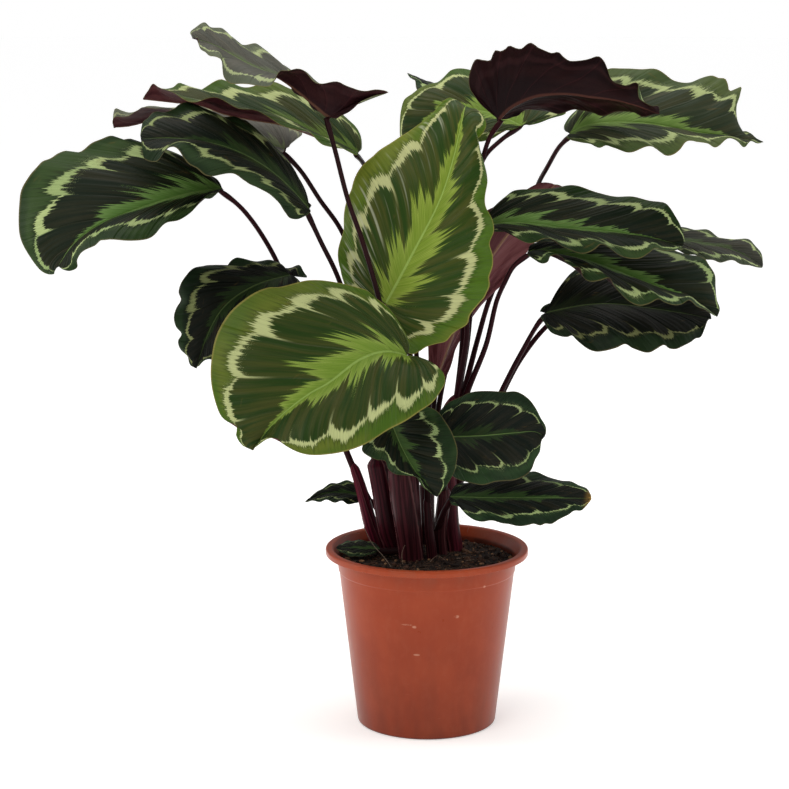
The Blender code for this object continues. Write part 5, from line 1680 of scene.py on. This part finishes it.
def make_fibres():
    """Fibres on the soil, and the roots that the front view shows."""
    draw = random.Random(FIBRE_SEED)
    parts = Parts()
    edge = wall_radius(SOIL_TOP) - WALL - FIBRE_ROOM
    for _ in range(FIBRES):
        joints = fibre_joints(draw, edge)
        if max(math.hypot(x, y) for x, y, _ in joints) > edge:
            continue
        thick = draw.uniform(0.12, 0.32) * np.linspace(1.0, 0.4, FIBRE_POINTS)
        points, faces, _ = tube(smooth_curve(joints, FIBRE_POINTS), thick, FIBRE_SIDES)
        parts.add(points, faces, Tone=(draw.uniform(0.5, 1.0), 0.0))
    for given, thick in ROOTS:
        way = smooth_curve([seen(p) for p in given], ROOT_POINTS)
        points, faces, _ = tube(way, thick * np.linspace(1.0, 0.55, ROOT_POINTS), ROOT_SIDES)
        parts.add(points, faces, Tone=(1.0, 0.0))
    on_body(parts.made("soil_fibres", fibre_look()), "soil")


# Room, light and camera


def floor_look():
    """Pale and faintly glowing, so that it runs into the white behind it."""
    look = Look("pale_floor", roughness=0.9, specular=0.05)
    look.shader.inputs["Emission Color"].default_value = WHITE
    look.shader.inputs["Emission Strength"].default_value = ROOM_GLOW
    x, y, z = look.place()
    cloud = look.noise(x, y, z, scale=3.0, detail=2.0)
    return look.finish(look.mix(cloud, ROOM_COLOUR, tuple(c * 0.99 for c in ROOM_COLOUR)))


def make_floor():
    """A round floor just below the pot."""
    rings = circles(ROOM_RINGS, [-ROOM_DROP] * len(ROOM_RINGS), ROOM_SIDES)
    faces = fan(0, 1, ROOM_SIDES) + ring_faces(len(ROOM_RINGS), ROOM_SIDES, first=1, flip=True)
    floor = add_mesh("floor", [[0.0, 0.0, -ROOM_DROP], *rings.tolist()], faces, {}, [floor_look()])


def light_world():
    """Even light from all round but darker in front and behind; the camera sees plain white."""
    world = bpy.data.worlds.new("studio")
    bpy.context.scene.world = world
    world.use_nodes = True
    tree = world.node_tree
    background = tree.nodes["Background"]
    background.inputs["Color"].default_value = WHITE
    split = tree.nodes.new("ShaderNodeSeparateXYZ")
    tree.links.new(tree.nodes.new("ShaderNodeTexCoord").outputs["Generated"], split.inputs[0])
    depth = Value(tree, split.outputs[1])
    seen_directly = Value(tree, tree.nodes.new("ShaderNodeLightPath").outputs["Is Camera Ray"])
    light = (1.0 - depth.fall(-0.75, -0.1)) * (WORLD_LIGHT - WORLD_FRONT) + WORLD_FRONT
    light = light - depth.rise(0.45, 0.9) * (WORLD_LIGHT - WORLD_BACK)
    light = light.op("MAXIMUM", seen_directly)
    tree.links.new(light.socket, background.inputs["Strength"])


def add_light(name, place, target, size, watts):
    """A rectangular light at a place in metres that faces its target."""
    data = bpy.data.lights.new(name, "AREA")
    data.shape = "RECTANGLE"
    data.size, data.size_y = size
    data.energy = watts
    data.color = LIGHT_COLOUR
    made = bpy.data.objects.new(name, data)
    made.location = place
    made.rotation_mode = "QUATERNION"
    made.rotation_quaternion = (Vector(target) - Vector(place)).to_track_quat("-Z", "Y")
    bpy.context.scene.collection.objects.link(made)


def make_camera():
    """The camera of the front view."""
    data = bpy.data.cameras.new("camera")
    data.sensor_width = SENSOR
    data.lens = SENSOR * VIEW_ZOOM / VIEW_SIZE
    data.clip_start, data.clip_end = 0.05, 200.0
    made = bpy.data.objects.new("camera", data)
    made.location = VIEW_PLACE * MM
    made.rotation_euler = (math.pi / 2 - VIEW_TILT, 0.0, -VIEW_TURN)
    bpy.context.scene.collection.objects.link(made)
    bpy.context.scene.camera = made


def make_plant():
    """The blades, then the shoots that carry them."""
    leaves = {}
    for number, (name, rows) in enumerate(LEAVES.items(), 1):
        own = {"number": number, "phase": PHASE_STEP * number}
        leaves[name] = {**USUAL_LEAF, **rows, **TRAITS.get(name, {}), **own}
    upper, young = blade_look("blade_upper", BLADE_GLOSS), blade_look("young_upper", YOUNG_GLOSS)
    under = under_look()
    for name, leaf in leaves.items():
        make_leaf(name, leaf, (young if name in YOUNG else upper, under))
    skin = stalk_look()
    for name, shoot in SHOOTS.items():
        make_shoot(name, shoot, leaves, skin)


def main():
    make_camera()
    make_floor()
    light_world()
    for light in LIGHTS:
        add_light(*light)
    bpy.context.scene.view_settings.view_transform = "Standard"
    make_pot()
    make_soil()
    make_crumbs()
    make_fibres()
    make_plant()


main()
